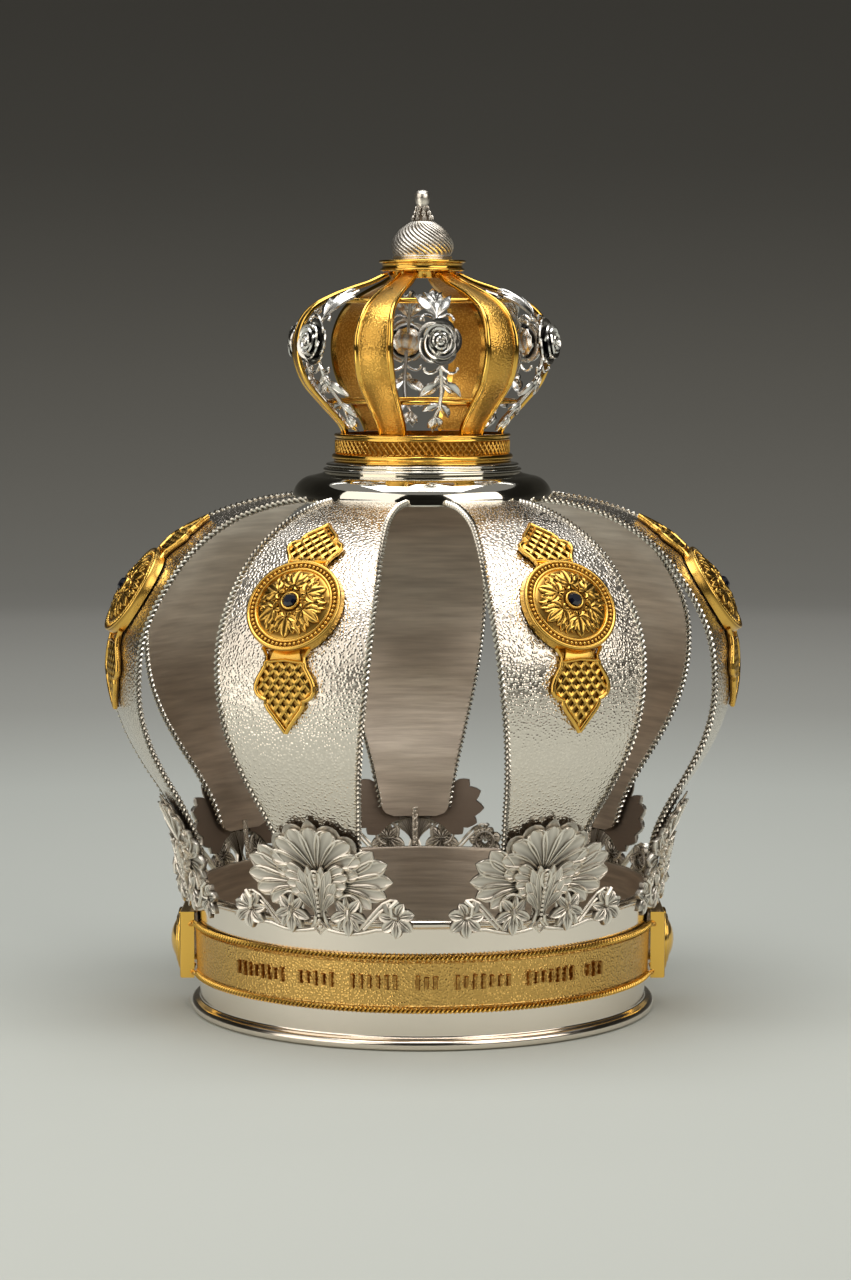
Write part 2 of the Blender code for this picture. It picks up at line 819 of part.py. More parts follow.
def make_garlands():
    curve = Meridian(RIB_CURVE)
    low = curve.distance_at(SMALL_BAND_TOP + STEM_RADIUS)
    high = curve.distance_at(GARLAND_TOP)
    heart = curve.distance_at(ROSE_HEIGHT)
    pieces = [garland_stem(curve, low, high), garland_rose(curve, heart)]
    pieces.append(garland_leaf(curve, high - 3.0, 10.0, 2.6, 0.1))
    for side in (-1, 1):
        pieces.append(garland_leaf(curve, heart - 26.0, 14.0, 3.6, side * 0.75))
        pieces.append(garland_leaf(curve, heart + 9.0, 13.0, 3.2, side * 0.7))
    mesh = shaded(fused("rose_garland", pieces))
    silver = material("oxidised_silver", CAST_SILVER, 0.28, 1.0)
    for number, azimuth in ring_of(RIB_COUNT, GARLAND_TURN):
        place(f"rose_garland_{number}", mesh.copy(), silver.copy(), azimuth)


def make_top_plate():
    profile = (
        (0.0, TOP_PLATE_HIGH),
        (19.4, TOP_PLATE_HIGH),
        (TOP_PLATE_RADIUS, TOP_PLATE_HIGH - 1.6),
        (TOP_PLATE_RADIUS, TOP_PLATE_LOW + 1.6),
        (19.4, TOP_PLATE_LOW),
        (0.0, TOP_PLATE_LOW),
    )
    mesh = turned("top_plate", profile, 20)
    place("top_plate", shaded(mesh), material("gold_plate", GOLD, 0.18, 1.0))


def make_finial():
    low = TOP_PLATE_HIGH + GAP
    profile = (
        (0.0, 387.0),
        (2.2, 385.2),
        (3.1, 381.6),
        (2.4, 379.0),
        (3.4, 374.4),
        (7.4, 370.2),
        (13.2, 366.0),
        (15.3, 361.4),
        (14.4, 357.8),
        (13.9, 356.0),
        (13.9, low),
        (0.0, low),
    )
    mesh = turned("finial", profile, 2 * FLUTES)
    for vert in mesh.vertices:
        height = vert.co.z / MM
        if not FLUTED_LOW < height < FLUTED_HIGH:
            continue
        angle = math.atan2(vert.co.y, vert.co.x)
        radius = math.hypot(vert.co.x, vert.co.y)
        groove = 0.965 + 0.035 * math.cos(FLUTES * angle)
        twist = math.radians(FLUTE_TWIST) * (height - FLUTED_LOW)
        vert.co.x = radius * groove * math.cos(angle + twist)
        vert.co.y = radius * groove * math.sin(angle + twist)
    place("finial", shaded(mesh), material("finial_silver", SILVER, 0.14, 1.0))


clear_scene()
CROWN = collection("torah_crown")
CUTTERS = collection("helpers")
make_drum()
make_bands()
make_plaques()
make_staves()
make_palmettes()
make_medallions()
make_collar()
make_small_band()
make_ribs()
make_hoops()
make_garlands()
make_top_plate()
make_finial()
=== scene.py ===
import math
import random

import bmesh
import bpy
import numpy as np
from mathutils import Matrix, Vector


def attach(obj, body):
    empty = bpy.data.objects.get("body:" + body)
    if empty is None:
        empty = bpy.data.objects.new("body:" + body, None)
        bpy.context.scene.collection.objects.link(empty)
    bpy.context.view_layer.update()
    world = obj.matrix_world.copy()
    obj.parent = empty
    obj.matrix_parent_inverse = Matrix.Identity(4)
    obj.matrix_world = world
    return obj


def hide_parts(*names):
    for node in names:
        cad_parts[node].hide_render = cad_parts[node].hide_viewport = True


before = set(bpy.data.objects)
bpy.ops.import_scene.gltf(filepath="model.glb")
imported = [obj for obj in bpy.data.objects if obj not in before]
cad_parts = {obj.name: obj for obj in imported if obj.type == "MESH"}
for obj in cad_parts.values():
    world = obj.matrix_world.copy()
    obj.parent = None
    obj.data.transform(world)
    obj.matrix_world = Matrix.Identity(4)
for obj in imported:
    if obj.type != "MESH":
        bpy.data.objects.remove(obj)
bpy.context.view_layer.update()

MM = 0.001

# %% [markdown]
# ## Working flat, then bending
#
# A silversmith cuts and decorates a strap while it is flat, and bends it afterwards.  The same order
# is easiest in code.  A flat drawing has three numbers in millimetres: how far across, how far
# along, and how high above the sheet.  A surface is then a rule that takes those three numbers to a
# place on the crown, and `bend` moves every point of a mesh by that rule.  The other way, placing
# each leaf in space by hand, would hide the simple shape of the ornament.
# %% Curves and surfaces to bend onto


def meridian(points):
    """A smooth curve through (radius, height) points, with the length from the first of them."""
    ends = np.array([points[0], *points, points[-1]], float)
    t = np.linspace(0.0, 1.0, 24, endpoint=False)[:, None]
    spans = []
    for before, start, stop, after in zip(ends, ends[1:], ends[2:], ends[3:]):
        leave = (stop - before) / 2
        arrive = (after - start) / 2
        spans.append(
            start * (2 * t**3 - 3 * t**2 + 1)
            + leave * (t**3 - 2 * t**2 + t)
            + stop * (3 * t**2 - 2 * t**3)
            + arrive * (t**3 - t**2)
        )
    line = np.vstack([*spans, ends[-1:]])
    steps = np.linalg.norm(np.diff(line, axis=0), axis=1)
    return np.concatenate(([0.0], np.cumsum(steps))), line[:, 0], line[:, 1]


def length_at(curve, height):
    """The length along a curve where it first reaches a height."""
    length, _, heights = curve
    first = int(np.argmax(heights >= height))
    return float(np.interp(height, heights[first - 1:first + 1], length[first - 1:first + 1]))


def wrapped(radius, turned, height):
    """Points at a radius and height, turned round the axis from the front by an angle."""
    return radius * np.sin(turned), -radius * np.cos(turned), height


def bowed(curve):
    """The surface that a curve sweeps round the axis, as a rule for bend."""
    length, radius, height = curve
    slope = np.gradient(radius, length), np.gradient(height, length)

    def surface(across, along, lift):
        base = np.interp(along, length, radius)
        out = base + np.interp(along, length, slope[1]) * lift
        up = np.interp(along, length, height) - np.interp(along, length, slope[0]) * lift
        return wrapped(out, across / base, up)

    return surface


def bend(mesh, surface):
    """Move a mesh drawn flat, in millimetres, onto a surface of the crown, in metres."""
    flat = np.empty(len(mesh.vertices) * 3)
    mesh.vertices.foreach_get("co", flat)
    across, along, lift = flat.reshape(-1, 3).T
    placed = np.stack(surface(across, along, lift), axis=1) * MM
    mesh.vertices.foreach_set("co", placed.ravel())
    mesh.update()
    return mesh


def upright(radius, across_radius):
    """A surface whose radius is a function of height, lifted straight out from the axis.

    Distances across are true at the second radius.
    """
    return lambda across, height, lift: wrapped(radius(height) + lift, across / across_radius, height)


def width_rule(curve, heights, halves):
    """Half a strap's width as a function of the length along it, from its widths at some heights."""
    return lambda along: float(np.interp(np.interp(along, curve[0], curve[2]), heights, halves))


# %% [markdown]
# ## Keeping a piece
#
# Every finished piece goes through `show`.  It gives the piece its finishes, makes it ride on the
# crown's only body, and hides the plain solid that it stands for.  A ring of equal pieces is one mesh,
# copied and turned, with the turn put into each copy's points so that every object still sits at the
# origin.  Heights are drawn from a level just above the foot, and `show` raises each piece by that
# much.
# %% Helpers that finish a piece
LEVEL = 5.0
crown = bpy.data.collections.new("crown")
bpy.context.scene.collection.children.link(crown)


def finished(name, bm, sharp=35.0):
    """Turn a bmesh into a mesh that is smooth except where it is creased."""
    mesh = bpy.data.meshes.new(name)
    bm.to_mesh(mesh)
    bm.free()
    mesh.shade_smooth()
    mesh.set_sharp_from_angle(angle=math.radians(sharp))
    return mesh


def show(name, mesh, finishes, node):
    mesh.transform(Matrix.Translation((0.0, 0.0, LEVEL * MM)))
    piece = bpy.data.objects.new(name, mesh)
    crown.objects.link(piece)
    for finish in finishes:
        mesh.materials.append(finish)
    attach(piece, "root")
    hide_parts(node)
    return piece


def show_ring(name, mesh, finishes, node, count, first):
    """Copies of one mesh round the axis, numbered as the solids they stand for are."""
    for number in range(count):
        turned = mesh.copy()
        turned.transform(Matrix.Rotation(math.radians(first + 360.0 / count * number), 4, "Z"))
        show(f"{name}_{number + 1}", turned, finishes, f"{node}_{number + 1}")
    print(f"{name}: {count} pieces of {len(mesh.polygons)} faces")


# %% [markdown]
# ## Finishes
#
# Silver and gold have no colour of their own beyond a tint: what the eye reads as polished, satin or
# hammered is how rough the surface is, and how its small hollows throw the light about.  So every
# finish here is fully metallic, and what differs is its roughness, its grain and its darkening.  Grain
# is set in millimetres.  The darkening is a number kept on each vertex, 0 on the worn high places and
# 1 deep in the relief.  On silver it is partly patina, because a smith blackens cast work and then
# rubs the high places bright again, and partly painted shade; on gold it is painted shade alone.
# %% Colours and one small function for nodes


def srgb(code):
    """A hex colour as the linear numbers that a shader takes."""
    channels = [int(code[place:place + 2], 16) / 255 for place in (1, 3, 5)]
    return (*[c / 12.92 if c <= 0.04045 else ((c + 0.055) / 1.055) ** 2.4 for c in channels], 1.0)


# A Mix node keeps sockets for every kind of data.  These are the ones for colours.
FIRST_COLOUR, SECOND_COLOUR, MIXED_COLOUR = 6, 7, 2


def add(tree, kind, inputs, **settings):
    """Add a node: settings are its properties, and inputs are values or the sockets that feed it."""
    made = tree.nodes.new("ShaderNode" + kind)
    for name, value in settings.items():
        setattr(made, name, value)
    for name, value in inputs.items():
        if isinstance(value, bpy.types.NodeSocket):
            tree.links.new(value, made.inputs[name])
        else:
            made.inputs[name].default_value = value
    return made


def per_mm(size):
    """The texture scale whose cells or waves are about so many millimetres across."""
    return 1.0 / (size * MM)


def on_surface(tree):
    """The place on the piece that is shaded, as every pattern here reads it."""
    return add(tree, "TexCoord", {}).outputs["Object"]


# %% [markdown]
# A metal's recipe is always the same three steps, so one function follows it.  The per-vertex
# darkening mixes the bright metal with the dark one, a soft noise makes the roughness uneven as
# handling does, and a grain of cells or of noise becomes a bump.  The same pattern also darkens the
# low places of the grain a little, as grime and painted shade.  What each real finish needs is passed in.
# %% The recipe for a metal
# Handling leaves patches of this size, and a blackened hollow is rougher than a rubbed edge.
HANDLED_PATCH = 18.0
HOLLOW_ROUGHNESS = 0.2


def metal(name, bright, dark, roughness, grain, depth, cells=False, stretch=(1.0, 1.0, 1.0), grime_and_shade=0.0):
    """A metal finish: grain is the size of its marks and depth their depth, both in millimetres."""
    finish = bpy.data.materials.new(name)
    finish.use_nodes = True
    tree = finish.node_tree
    shader = tree.nodes["Principled BSDF"]
    shader.inputs["Metallic"].default_value = 1.0
    place = on_surface(tree)
    spread = add(tree, "Mapping", {"Vector": place, "Scale": stretch})
    if cells:
        marks = add(tree, "TexVoronoi", {
            "Vector": spread.outputs[0], "Scale": per_mm(grain), "Smoothness": 0.35}, feature="SMOOTH_F1")
        height = add(tree, "MapRange", {
            "Value": marks.outputs["Distance"], "From Min": 0.12, "From Max": 0.62,
            "To Min": 1.0, "To Max": 0.0})
    else:
        marks = add(tree, "TexNoise", {"Vector": spread.outputs[0], "Scale": per_mm(grain), "Detail": 3.0})
        height = add(tree, "MapRange", {"Value": marks.outputs["Fac"], "From Min": 0.3, "From Max": 0.7})
    bump = add(tree, "Bump", {"Height": height.outputs[0], "Strength": 1.0, "Distance": depth * MM})
    tree.links.new(bump.outputs[0], shader.inputs["Normal"])
    # Painted shade in the low places of the grain, with the per-vertex darkening (patina and painted shade),
    # pulls the colour towards the dark metal.
    low_marks = add(tree, "Math", {0: 1.0, 1: height.outputs[0]}, operation="SUBTRACT", use_clamp=True)
    patina_and_shade = add(tree, "Attribute", {}, attribute_name="patina_and_shade")
    hollow = add(tree, "MapRange", {"Value": patina_and_shade.outputs["Fac"], "From Min": 0.15, "From Max": 1.0})
    darkening = add(tree, "Math", {0: low_marks.outputs[0], 1: grime_and_shade, 2: hollow.outputs[0]},
                  operation="MULTIPLY_ADD", use_clamp=True)
    tint = add(tree, "Mix", {0: darkening.outputs[0], FIRST_COLOUR: srgb(bright), SECOND_COLOUR: srgb(dark)},
               data_type="RGBA")
    tree.links.new(tint.outputs[MIXED_COLOUR], shader.inputs["Base Color"])
    uneven = add(tree, "TexNoise", {"Vector": place, "Scale": per_mm(HANDLED_PATCH), "Detail": 4.0})
    low, high = roughness
    rough = add(tree, "MapRange", {
        "Value": uneven.outputs["Fac"], "From Min": 0.3, "From Max": 0.7, "To Min": low, "To Max": high})
    rougher = add(tree, "Math", {0: hollow.outputs[0], 1: HOLLOW_ROUGHNESS, 2: rough.outputs[0]},
                  operation="MULTIPLY_ADD")
    tree.links.new(rougher.outputs[0], shader.inputs["Roughness"])
    return finish


# %% [markdown]
# Sterling silver is nearly white with a breath of warmth.  Mirror work keeps a roughness near zero.
# Hammered work is a soft mirror broken into facets a little over a millimetre across.  Cast work is
# satin, and its hollows are dark with patina and painted shade.
# %% Silver finishes

# Turned and buffed on a lathe: reflections stay sharp, with a faint haze from handling.
mirror_silver = metal("buffed_sterling_silver", "#F1EDE2", "#8D8579", (0.04, 0.08), 2.0, 0.002)
# Turned and wiped rather than buffed: bright, but reflections are soft.
satin_silver = metal("turned_sterling_silver", "#F6ECDE", "#8D8579", (0.12, 0.2), 0.6, 0.004)
# Hammered with a small round face: overlapping marks that each catch the light.
hammered_silver = metal("hammered_sterling_silver", "#FBF3E6", "#7A6E5E", (0.18, 0.27), 1.35, 0.25,
                        cells=True, grime_and_shade=0.2)
# The back of a strap, scratch-brushed across: grey and streaky.
brushed_silver = metal("brushed_sterling_silver", "#E6D8C8", "#9C8C7E", (0.36, 0.48), 2.6, 0.07,
                       stretch=(0.08, 0.08, 1.0), grime_and_shade=0.5)
# Drawn wire, twisted: smooth and bright.
wire_silver = metal("drawn_silver_wire", "#EEE9DC", "#6A6154", (0.16, 0.24), 0.8, 0.004)
# Cast in sand and brushed: satin high places over hollows made grey with patina and painted shade.
cast_silver = metal("cast_sterling_silver", "#F8F1E5", "#4C4134", (0.26, 0.36), 0.7, 0.02)
# Cast, blackened and rubbed back: white edges round hollows made nearly black with patina and painted shade.
oxidised_silver = metal("oxidised_cast_silver", "#F0EEE8", "#1F1D1B", (0.14, 0.24), 0.9, 0.01)

# %% [markdown]
# The gold is gilding over silver.  It takes the colour of deep yellow gold, and in hollows, where
# light bounces from gold to gold before it leaves, it looks nearly brown: each finish's dark colour is
# that shade, painted in.
# %% Gold finishes

# Polished gilding: sharp, warm reflections.
polished_gold = metal("polished_gilding", "#F6C55F", "#7E480C", (0.08, 0.16), 1.5, 0.003)
# A matted face inside polished rims: a very fine hammer grain that spreads each highlight.
satin_gold = metal("matted_gilding", "#F3C15F", "#8E5816", (0.25, 0.35), 1.0, 0.11, cells=True, grime_and_shade=0.36)
# Ground between raised work, stippled with a punch: fine round pits.
stippled_gold = metal("stippled_gilding", "#FFD47C", "#7E480C", (0.25, 0.35), 1.2, 0.26,
                      cells=True, grime_and_shade=0.38)
# Chased foliage with darkened recesses.
# Chased foliage, whose dark colour is the painted shade of its recesses.
chased_gold = metal("chased_gilding", "#EDBE5E", "#442204", (0.18, 0.28), 0.8, 0.012)

# %% [markdown]
# The stone in each medallion is dark enough to look black, with a gloss that only facets give.
# %% Dark faceted stone
stone_finish = bpy.data.materials.new("dark_faceted_stone")
stone_finish.use_nodes = True
stone_shader = stone_finish.node_tree.nodes["Principled BSDF"]
stone_shader.inputs["Roughness"].default_value = 0.03
stone_shader.inputs["IOR"].default_value = 1.77
stone_tree = stone_finish.node_tree
stone_cloud = add(stone_tree, "TexNoise", {"Vector": on_surface(stone_tree), "Scale": per_mm(2.0)})
stone_tint = add(stone_tree, "Mix", {
    0: stone_cloud.outputs["Fac"], FIRST_COLOUR: srgb("#04050A"), SECOND_COLOUR: srgb("#12182E"),
}, data_type="RGBA")
stone_tree.links.new(stone_tint.outputs[MIXED_COLOUR], stone_shader.inputs["Base Color"])
print("finishes:", len(bpy.data.materials))

# %% [markdown]
# ## Turned work
#
# A ring, a collar or a knob is spun on a lathe, so its whole shape is one profile.  `turn` draws the
# profile as a line of radius and height, and spins it round the axis with `bmesh.ops.spin`.  The
# Screw modifier would do the same; the operator is used because the result needs no baking.  Arcs
# are made from their centres, so that each moulding is a real quarter or half round.
# %% Profiles and the lathe


def arc(centre, radius, start, stop, steps=6):
    """Points round part of a circle.  Angles are in degrees, 0 outward and 90 up."""
    turns = [math.radians(start + (stop - start) * step / steps) for step in range(steps + 1)]
    return [(centre[0] + radius * math.cos(turn), centre[1] + radius * math.sin(turn)) for turn in turns]


def turn(bm, profile, steps=160, closed=True):
    """Spin a profile of (radius, height) points, and join its ends unless they are on the axis."""
    points = [bm.verts.new((radius, 0.0, height)) for radius, height in profile]
    edges = [bm.edges.new(pair) for pair in zip(points, points[1:])]
    if closed:
        edges.append(bm.edges.new((points[-1], points[0])))
    bmesh.ops.spin(bm, geom=points + edges, cent=(0, 0, 0), axis=(0, 0, 1), angle=math.tau,
                   steps=steps, use_merge=True, use_duplicate=False)
    bmesh.ops.remove_doubles(bm, verts=bm.verts, dist=0.0005)
    bmesh.ops.recalc_face_normals(bm, faces=bm.faces)


def scaled(mesh):
    """Bring a mesh that was drawn upright in millimetres to metres."""
    mesh.transform(Matrix.Scale(MM, 4))
    return mesh


# %% [markdown]
# ## Small helpers for bmesh
#
# An operator hands back vertices, edges and faces together, and nearly every step below wants only
# one kind.  A flat sheet gets its second side by extruding it.  Operators also slow down as a bmesh
# grows, so each part is drawn in a small one of its own and then moved into the piece with `take`.
# %% Sorting, thickening and joining


def only_points(items):
    """The vertices among what an operator made."""
    return [item for item in items if isinstance(item, bmesh.types.BMVert)]


def faces_of(points):
    """Every face that touches the points."""
    return list({face for point in points for face in point.link_faces})


def thicken(bm, faces):
    """Give a sheet a second side, and return that side's points, still level with the first."""
    return only_points(bmesh.ops.extrude_face_region(bm, geom=faces, use_keep_orig=True)["geom"])


def drawing():
    """A new bmesh with room for patina and painted shade on every vertex."""
    bm = bmesh.new()
    bm.verts.layers.float.new("patina_and_shade")
    return bm


# Paints points dark: patina on silver, and painted shade in creases, feet, backs and hollows where shadow
# falls.
def set_patina_and_shade(bm, points, patina_and_shade=1.0):
    for point in points:
        point[bm.verts.layers.float["patina_and_shade"]] = patina_and_shade


def patina_and_shade_by_lift(bm, bright, black):
    """Darken what lies low, as painted shade, and on silver as patina too: a lift at or above bright stays
    bright, and one at black is darkest.
    """
    patina_and_shade_layer = bm.verts.layers.float["patina_and_shade"]
    for point in bm.verts:
        point[patina_and_shade_layer] = max(point[patina_and_shade_layer], min((bright - point.co.z) / (bright - black), 1.0))


def close_up(bm):
    """Point every face outward, island by island, once all the parts of a casting are in place."""
    bmesh.ops.recalc_face_normals(bm, faces=bm.faces)


def take(bm, other):
    """Move another bmesh's shapes into this one."""
    carried = bpy.data.meshes.new("carried")
    other.to_mesh(carried)
    other.free()
    bm.from_mesh(carried)
    bpy.data.meshes.remove(carried)


def joined(name, *meshes):
    """Several finished meshes in one, with the finishes that each face already names."""
    bm = bmesh.new()
    for mesh in meshes:
        bm.from_mesh(mesh)
        bpy.data.meshes.remove(mesh)
    return finished(name, bm, 50)


# %% [markdown]
# ## Wires, beads and ropes
#
# Most of the ornament is built from a few small things.  A wire is a disc pushed along a path, one
# extrusion at a time, and its radius may taper.  A bead is a small sphere, with few faces because
# there are hundreds.  A twisted edging is two wires laid round each other: seen from its end that is
# a shape with two lobes, so spinning this shape while it moves along gives the whole rope at once.
# %% Wires, beads and ropes


def frame_at(point, ahead, radius, squash):
    """Where a wire's disc sits: across the path, sized by its radius and flattened in height."""
    side = ahead.cross(Vector((0.0, 0.0, 1.0))).normalized()
    rise = side.cross(ahead).normalized()
    turned = Matrix((side, rise, ahead)).transposed().to_4x4()
    return Matrix.Translation(point) @ turned @ Matrix.Diagonal((radius, radius * squash, radius, 1.0))


def wire(bm, path, radius, sides=6, squash=1.0):
    """Push a disc along a path of points.  The radius is one number, or one for each point."""
    path = [Vector(point) for point in path]
    sizes = list(radius) if hasattr(radius, "__len__") else [radius] * len(path)
    frames = []
    for index, point in enumerate(path):
        ahead = path[min(index + 1, len(path) - 1)] - path[max(index - 1, 0)]
        frames.append(frame_at(point, ahead.normalized(), max(sizes[index], 0.05), squash))
    disc = bmesh.ops.create_circle(bm, cap_ends=True, segments=sides, radius=1.0, matrix=frames[0])["verts"]
    face = disc[0].link_faces[0]
    made = list(disc)
    for index in range(1, len(path)):
        grown = bmesh.ops.extrude_face_region(bm, geom=[face], use_keep_orig=index == 1)["geom"]
        face = next(item for item in grown if isinstance(item, bmesh.types.BMFace))
        moved = frames[index] @ frames[index - 1].inverted()
        bmesh.ops.transform(bm, matrix=moved, verts=face.verts)
        made += face.verts
    return made


def bead(bm, place, radius, squash=1.0, rings=5):
    """A small sphere, which may be flattened in height."""
    shape = Matrix.Translation(place) @ Matrix.Diagonal((radius, radius, radius * squash, 1.0))
    made = bmesh.ops.create_uvsphere(bm, u_segments=rings + 3, v_segments=rings, radius=1.0, matrix=shape)
    return made["verts"]


def bead_ring(bm, count, radius, height, size):
    """Beads side by side in a circle round the middle of the drawing."""
    for number in range(count):
        angle = math.tau * number / count
        bead(bm, (radius * math.cos(angle), radius * math.sin(angle), height), size, 1.0, 4)


ROPE_STEPS_PER_TURN = 10


def rope(bm, length, radius, pitch):
    """A straight rope of two wires along the second axis.  The pitch is one full turn's length."""
    section = bmesh.ops.create_circle(bm, segments=8, radius=radius)["verts"]
    patina_and_shade_layer = bm.verts.layers.float["patina_and_shade"]
    for point in section:
        # 1 on the outside of each wire, and -1 where the two wires meet.
        lobe = math.cos(2 * math.atan2(point.co.y, point.co.x))
        point.co *= 0.72 + 0.28 * lobe
        # Painted shade: darkest where the two wires meet, in the crease between them.
        point[patina_and_shade_layer] = 0.5 - 0.5 * lobe
        point.co = Vector((point.co.x, 0.0, point.co.y))
    edges = list({edge for point in section for edge in point.link_edges})
    steps = round(length / pitch * ROPE_STEPS_PER_TURN)
    before = set(bm.verts) - set(section)
    bmesh.ops.spin(bm, geom=section + edges, cent=(0, 0, 0), axis=(0, 1, 0), angle=math.tau * length / pitch,
                   dvec=(0, length / steps, 0), steps=steps, use_duplicate=False)
    made = [point for point in bm.verts if point not in before]
    ends = [edge for point in made for edge in point.link_edges if edge.is_boundary]
    bmesh.ops.holes_fill(bm, edges=list(set(ends)), sides=0)
    return made


# %% [markdown]
# ## Leaves
#
# Palmettes, garlands and chasing all repeat one form: a blade with a curved middle line, a width
# that swells and closes, and a section across it.  A grid from `bmesh.ops.create_grid` is shaped into
# it, its rows crowd towards the tip so that the end is round, and one extrusion gives it thickness.
# The section also says where patina and painted shade lie, so that a fluted lobe is dark in its hollow
# and bright on its rolled rim.  Changing the shape and the section turns a shell's lobe into an ivy leaf.
# %% The blade that every leaf is made from
# A shape is half the width, as a share, at shares of the length from root to tip.
LOBE = ((0.0, 0.2), (0.3, 0.5), (0.55, 0.84), (0.78, 1.0), (0.86, 0.93), (0.92, 0.77), (0.96, 0.57),
        (0.985, 0.36), (1.0, 0.0))
POINTED = ((0.0, 0.2), (0.3, 0.52), (0.58, 0.92), (0.72, 1.0), (0.83, 0.86), (0.91, 0.56), (0.97, 0.22),
           (1.0, 0.0))
IVY = ((0.0, 0.2), (0.2, 0.62), (0.42, 0.95), (0.6, 1.0), (0.76, 0.84), (0.88, 0.56), (0.96, 0.26),
       (1.0, 0.0))
LEAF = ((0.0, 0.1), (0.18, 0.6), (0.4, 1.0), (0.62, 0.86), (0.8, 0.5), (0.92, 0.22), (1.0, 0.0))
# A section is the share of the way to the edge, the height there as a share, and the patina and painted shade
# there.
FLUTE = ((0.0, 0.12, 0.45), (0.4, 0.0, 0.6), (0.6, 0.42, 0.2), (0.7, 0.3, 0.75), (0.84, 1.0, 0.0),
         (1.0, 0.8, 0.3))
VEINED = ((0.0, 0.75, 0.0), (0.16, 0.4, 0.8), (0.5, 0.55, 0.25), (0.8, 1.0, 0.0), (1.0, 0.0, 1.0))
FOLD = ((0.0, 1.0, 0.0), (0.14, 0.66, 0.3), (0.6, 0.46, 0.05), (1.0, 0.0, 0.3))
VEIN = ((0.0, 0.15, 1.0), (0.26, 0.75, 0.3), (0.7, 1.0, 0.14), (1.0, 0.0, 1.0))


def blade(bm, root, middle, tip, width, shape=LOBE, lift=(0.0, 0.0, 0.0), edge=1.0, section=FLUTE, thick=0.9,
          rows=8, flat_back=None):
    """A leaf whose middle line bends through three points, as (across, along).

    The lift gives the heights of those three points, and the edge how much the section rises.  Its
    back follows its front at the given thickness, or lies flat at the height of flat_back.
    """
    line = [Vector((*point, height)) for point, height in zip((root, middle, tip), lift)]
    half_columns = len(section) - 1
    made = bmesh.ops.create_grid(bm, x_segments=2 * half_columns, y_segments=rows, size=1.0)["verts"]
    patina_and_shade_layer = bm.verts.layers.float["patina_and_shade"]
    places, widths = zip(*shape)
    for point in made:
        share, rise, patina_and_shade = section[round(abs(point.co.x) * half_columns)]
        aside = math.copysign(share, point.co.x)
        t = math.sin((point.co.y + 1.0) / 2.0 * math.pi / 2.0)
        base = line[0] * (1 - t) ** 2 + line[1] * (2 * t * (1 - t)) + line[2] * t**2
        ahead = (line[1] - line[0]) * (1 - t) + (line[2] - line[1]) * t
        side = Vector((ahead.y, -ahead.x, 0.0)).normalized()
        swell = float(np.interp(t, places, widths))
        raised = Vector((0.0, 0.0, edge * rise * min(1.6 * swell, 1.0)))
        point.co = base + side * (aside * swell * width / 2) + raised
        # Patina and painted shade, heavier towards the root.
        point[patina_and_shade_layer] = min(patina_and_shade * (2.0 - 1.5 * t), 1.0)
    lower = thicken(bm, faces_of(made))
    for point in lower:
        point.co.z = point.co.z - thick if flat_back is None else flat_back
    bmesh.ops.remove_doubles(bm, verts=made + lower, dist=0.02)


def mirrored(points):
    """The same flat points on the other side of the middle line."""
    return [(-point[0], *point[1:]) for point in points]


# %% [markdown]
# ## The drum
#
# The drum carries the whole crown and passes over the scroll's two rollers, so it is an open ring.
# It is a plain turned wall between a half-round foot and a rounded rim.  Its mirror finish shows the
# slightest flaw in a curve, so the spin takes many steps.
# %% Turned drum
DRUM_LOW = (107.6, 1.8)
DRUM_HIGH = (109.2, 51.0)
DRUM_INSIDE = 105.2


def drum_radius(height):
    """The outer radius of the drum's wall, which flares a little towards the top."""
    return np.interp(height, (DRUM_LOW[1], DRUM_HIGH[1]), (DRUM_LOW[0], DRUM_HIGH[0]))


drum = bmesh.new()
turn(drum, [
    # rim, wall, foot, and back up the inside
    *arc((109.4, 53.1), 2.0, 80, -70, 8),
    (109.2, 50.6),
    DRUM_LOW,
    *arc((108.6, 1.3), 1.0, 180, 250, 4),
    *arc((109.7, -2.3), 2.5, 84, -80, 12),
    (109.9, -LEVEL),
    (DRUM_INSIDE, -LEVEL),
    (107.4, 53.4),
    *arc((108.6, 54.0), 1.1, 175, 100, 4),
])
drum_mesh = scaled(finished("turned_drum", drum, 50))
for face in drum_mesh.polygons:
    outward = Vector((face.center.x, face.center.y, 0.0)).normalized()
    faces_inward = face.normal.dot(outward) < -0.5
    face.material_index = 1 if faces_inward else 0
show("turned_drum", drum_mesh, [satin_silver, brushed_silver], "base_drum")
print("drum:", len(drum_mesh.polygons), "faces")

# %% [markdown]
# ## The gold bands
#
# Two gilded bands clasp the drum, front and back, and their ends run under a plaque at each side.
# A band is a stippled strip between twisted edgings, and each edging ends in a small hook.  The band
# is drawn flat, as long as the arc that it covers, and bent round the drum.
# %% Band between ropes
BAND_LOW = 12.3
BAND_HIGH = 39.0
BAND_RADIUS = 108.2
BAND_LENGTH = 2 * math.radians(79.0) * BAND_RADIUS
# How far the stippled ground stands off the drum, and where its back is.
GROUND = 1.9
BAND_BACK = 0.5
ROPE_RADIUS = 1.45
ROPE_PITCH = 4.2
# A hook's path, as (beyond the band's end, inward from the rope, off the ground), and its thickness.
HOOK = ((0.0, 0.0, 0.3), (1.8, 0.0, 1.7), (3.6, 0.6, 2.3), (4.9, 2.2, 1.6), (5.2, 4.2, 0.4))
HOOK_RADII = (1.3, 1.25, 1.1, 0.95, 0.7)


def lay_along_band(points, height):
    """Turn a rope that runs along the second axis so that it runs along the band."""
    for point in points:
        x, y, z = point.co
        point.co = Vector((y - BAND_LENGTH / 2, height + x, GROUND + 0.2 + z))


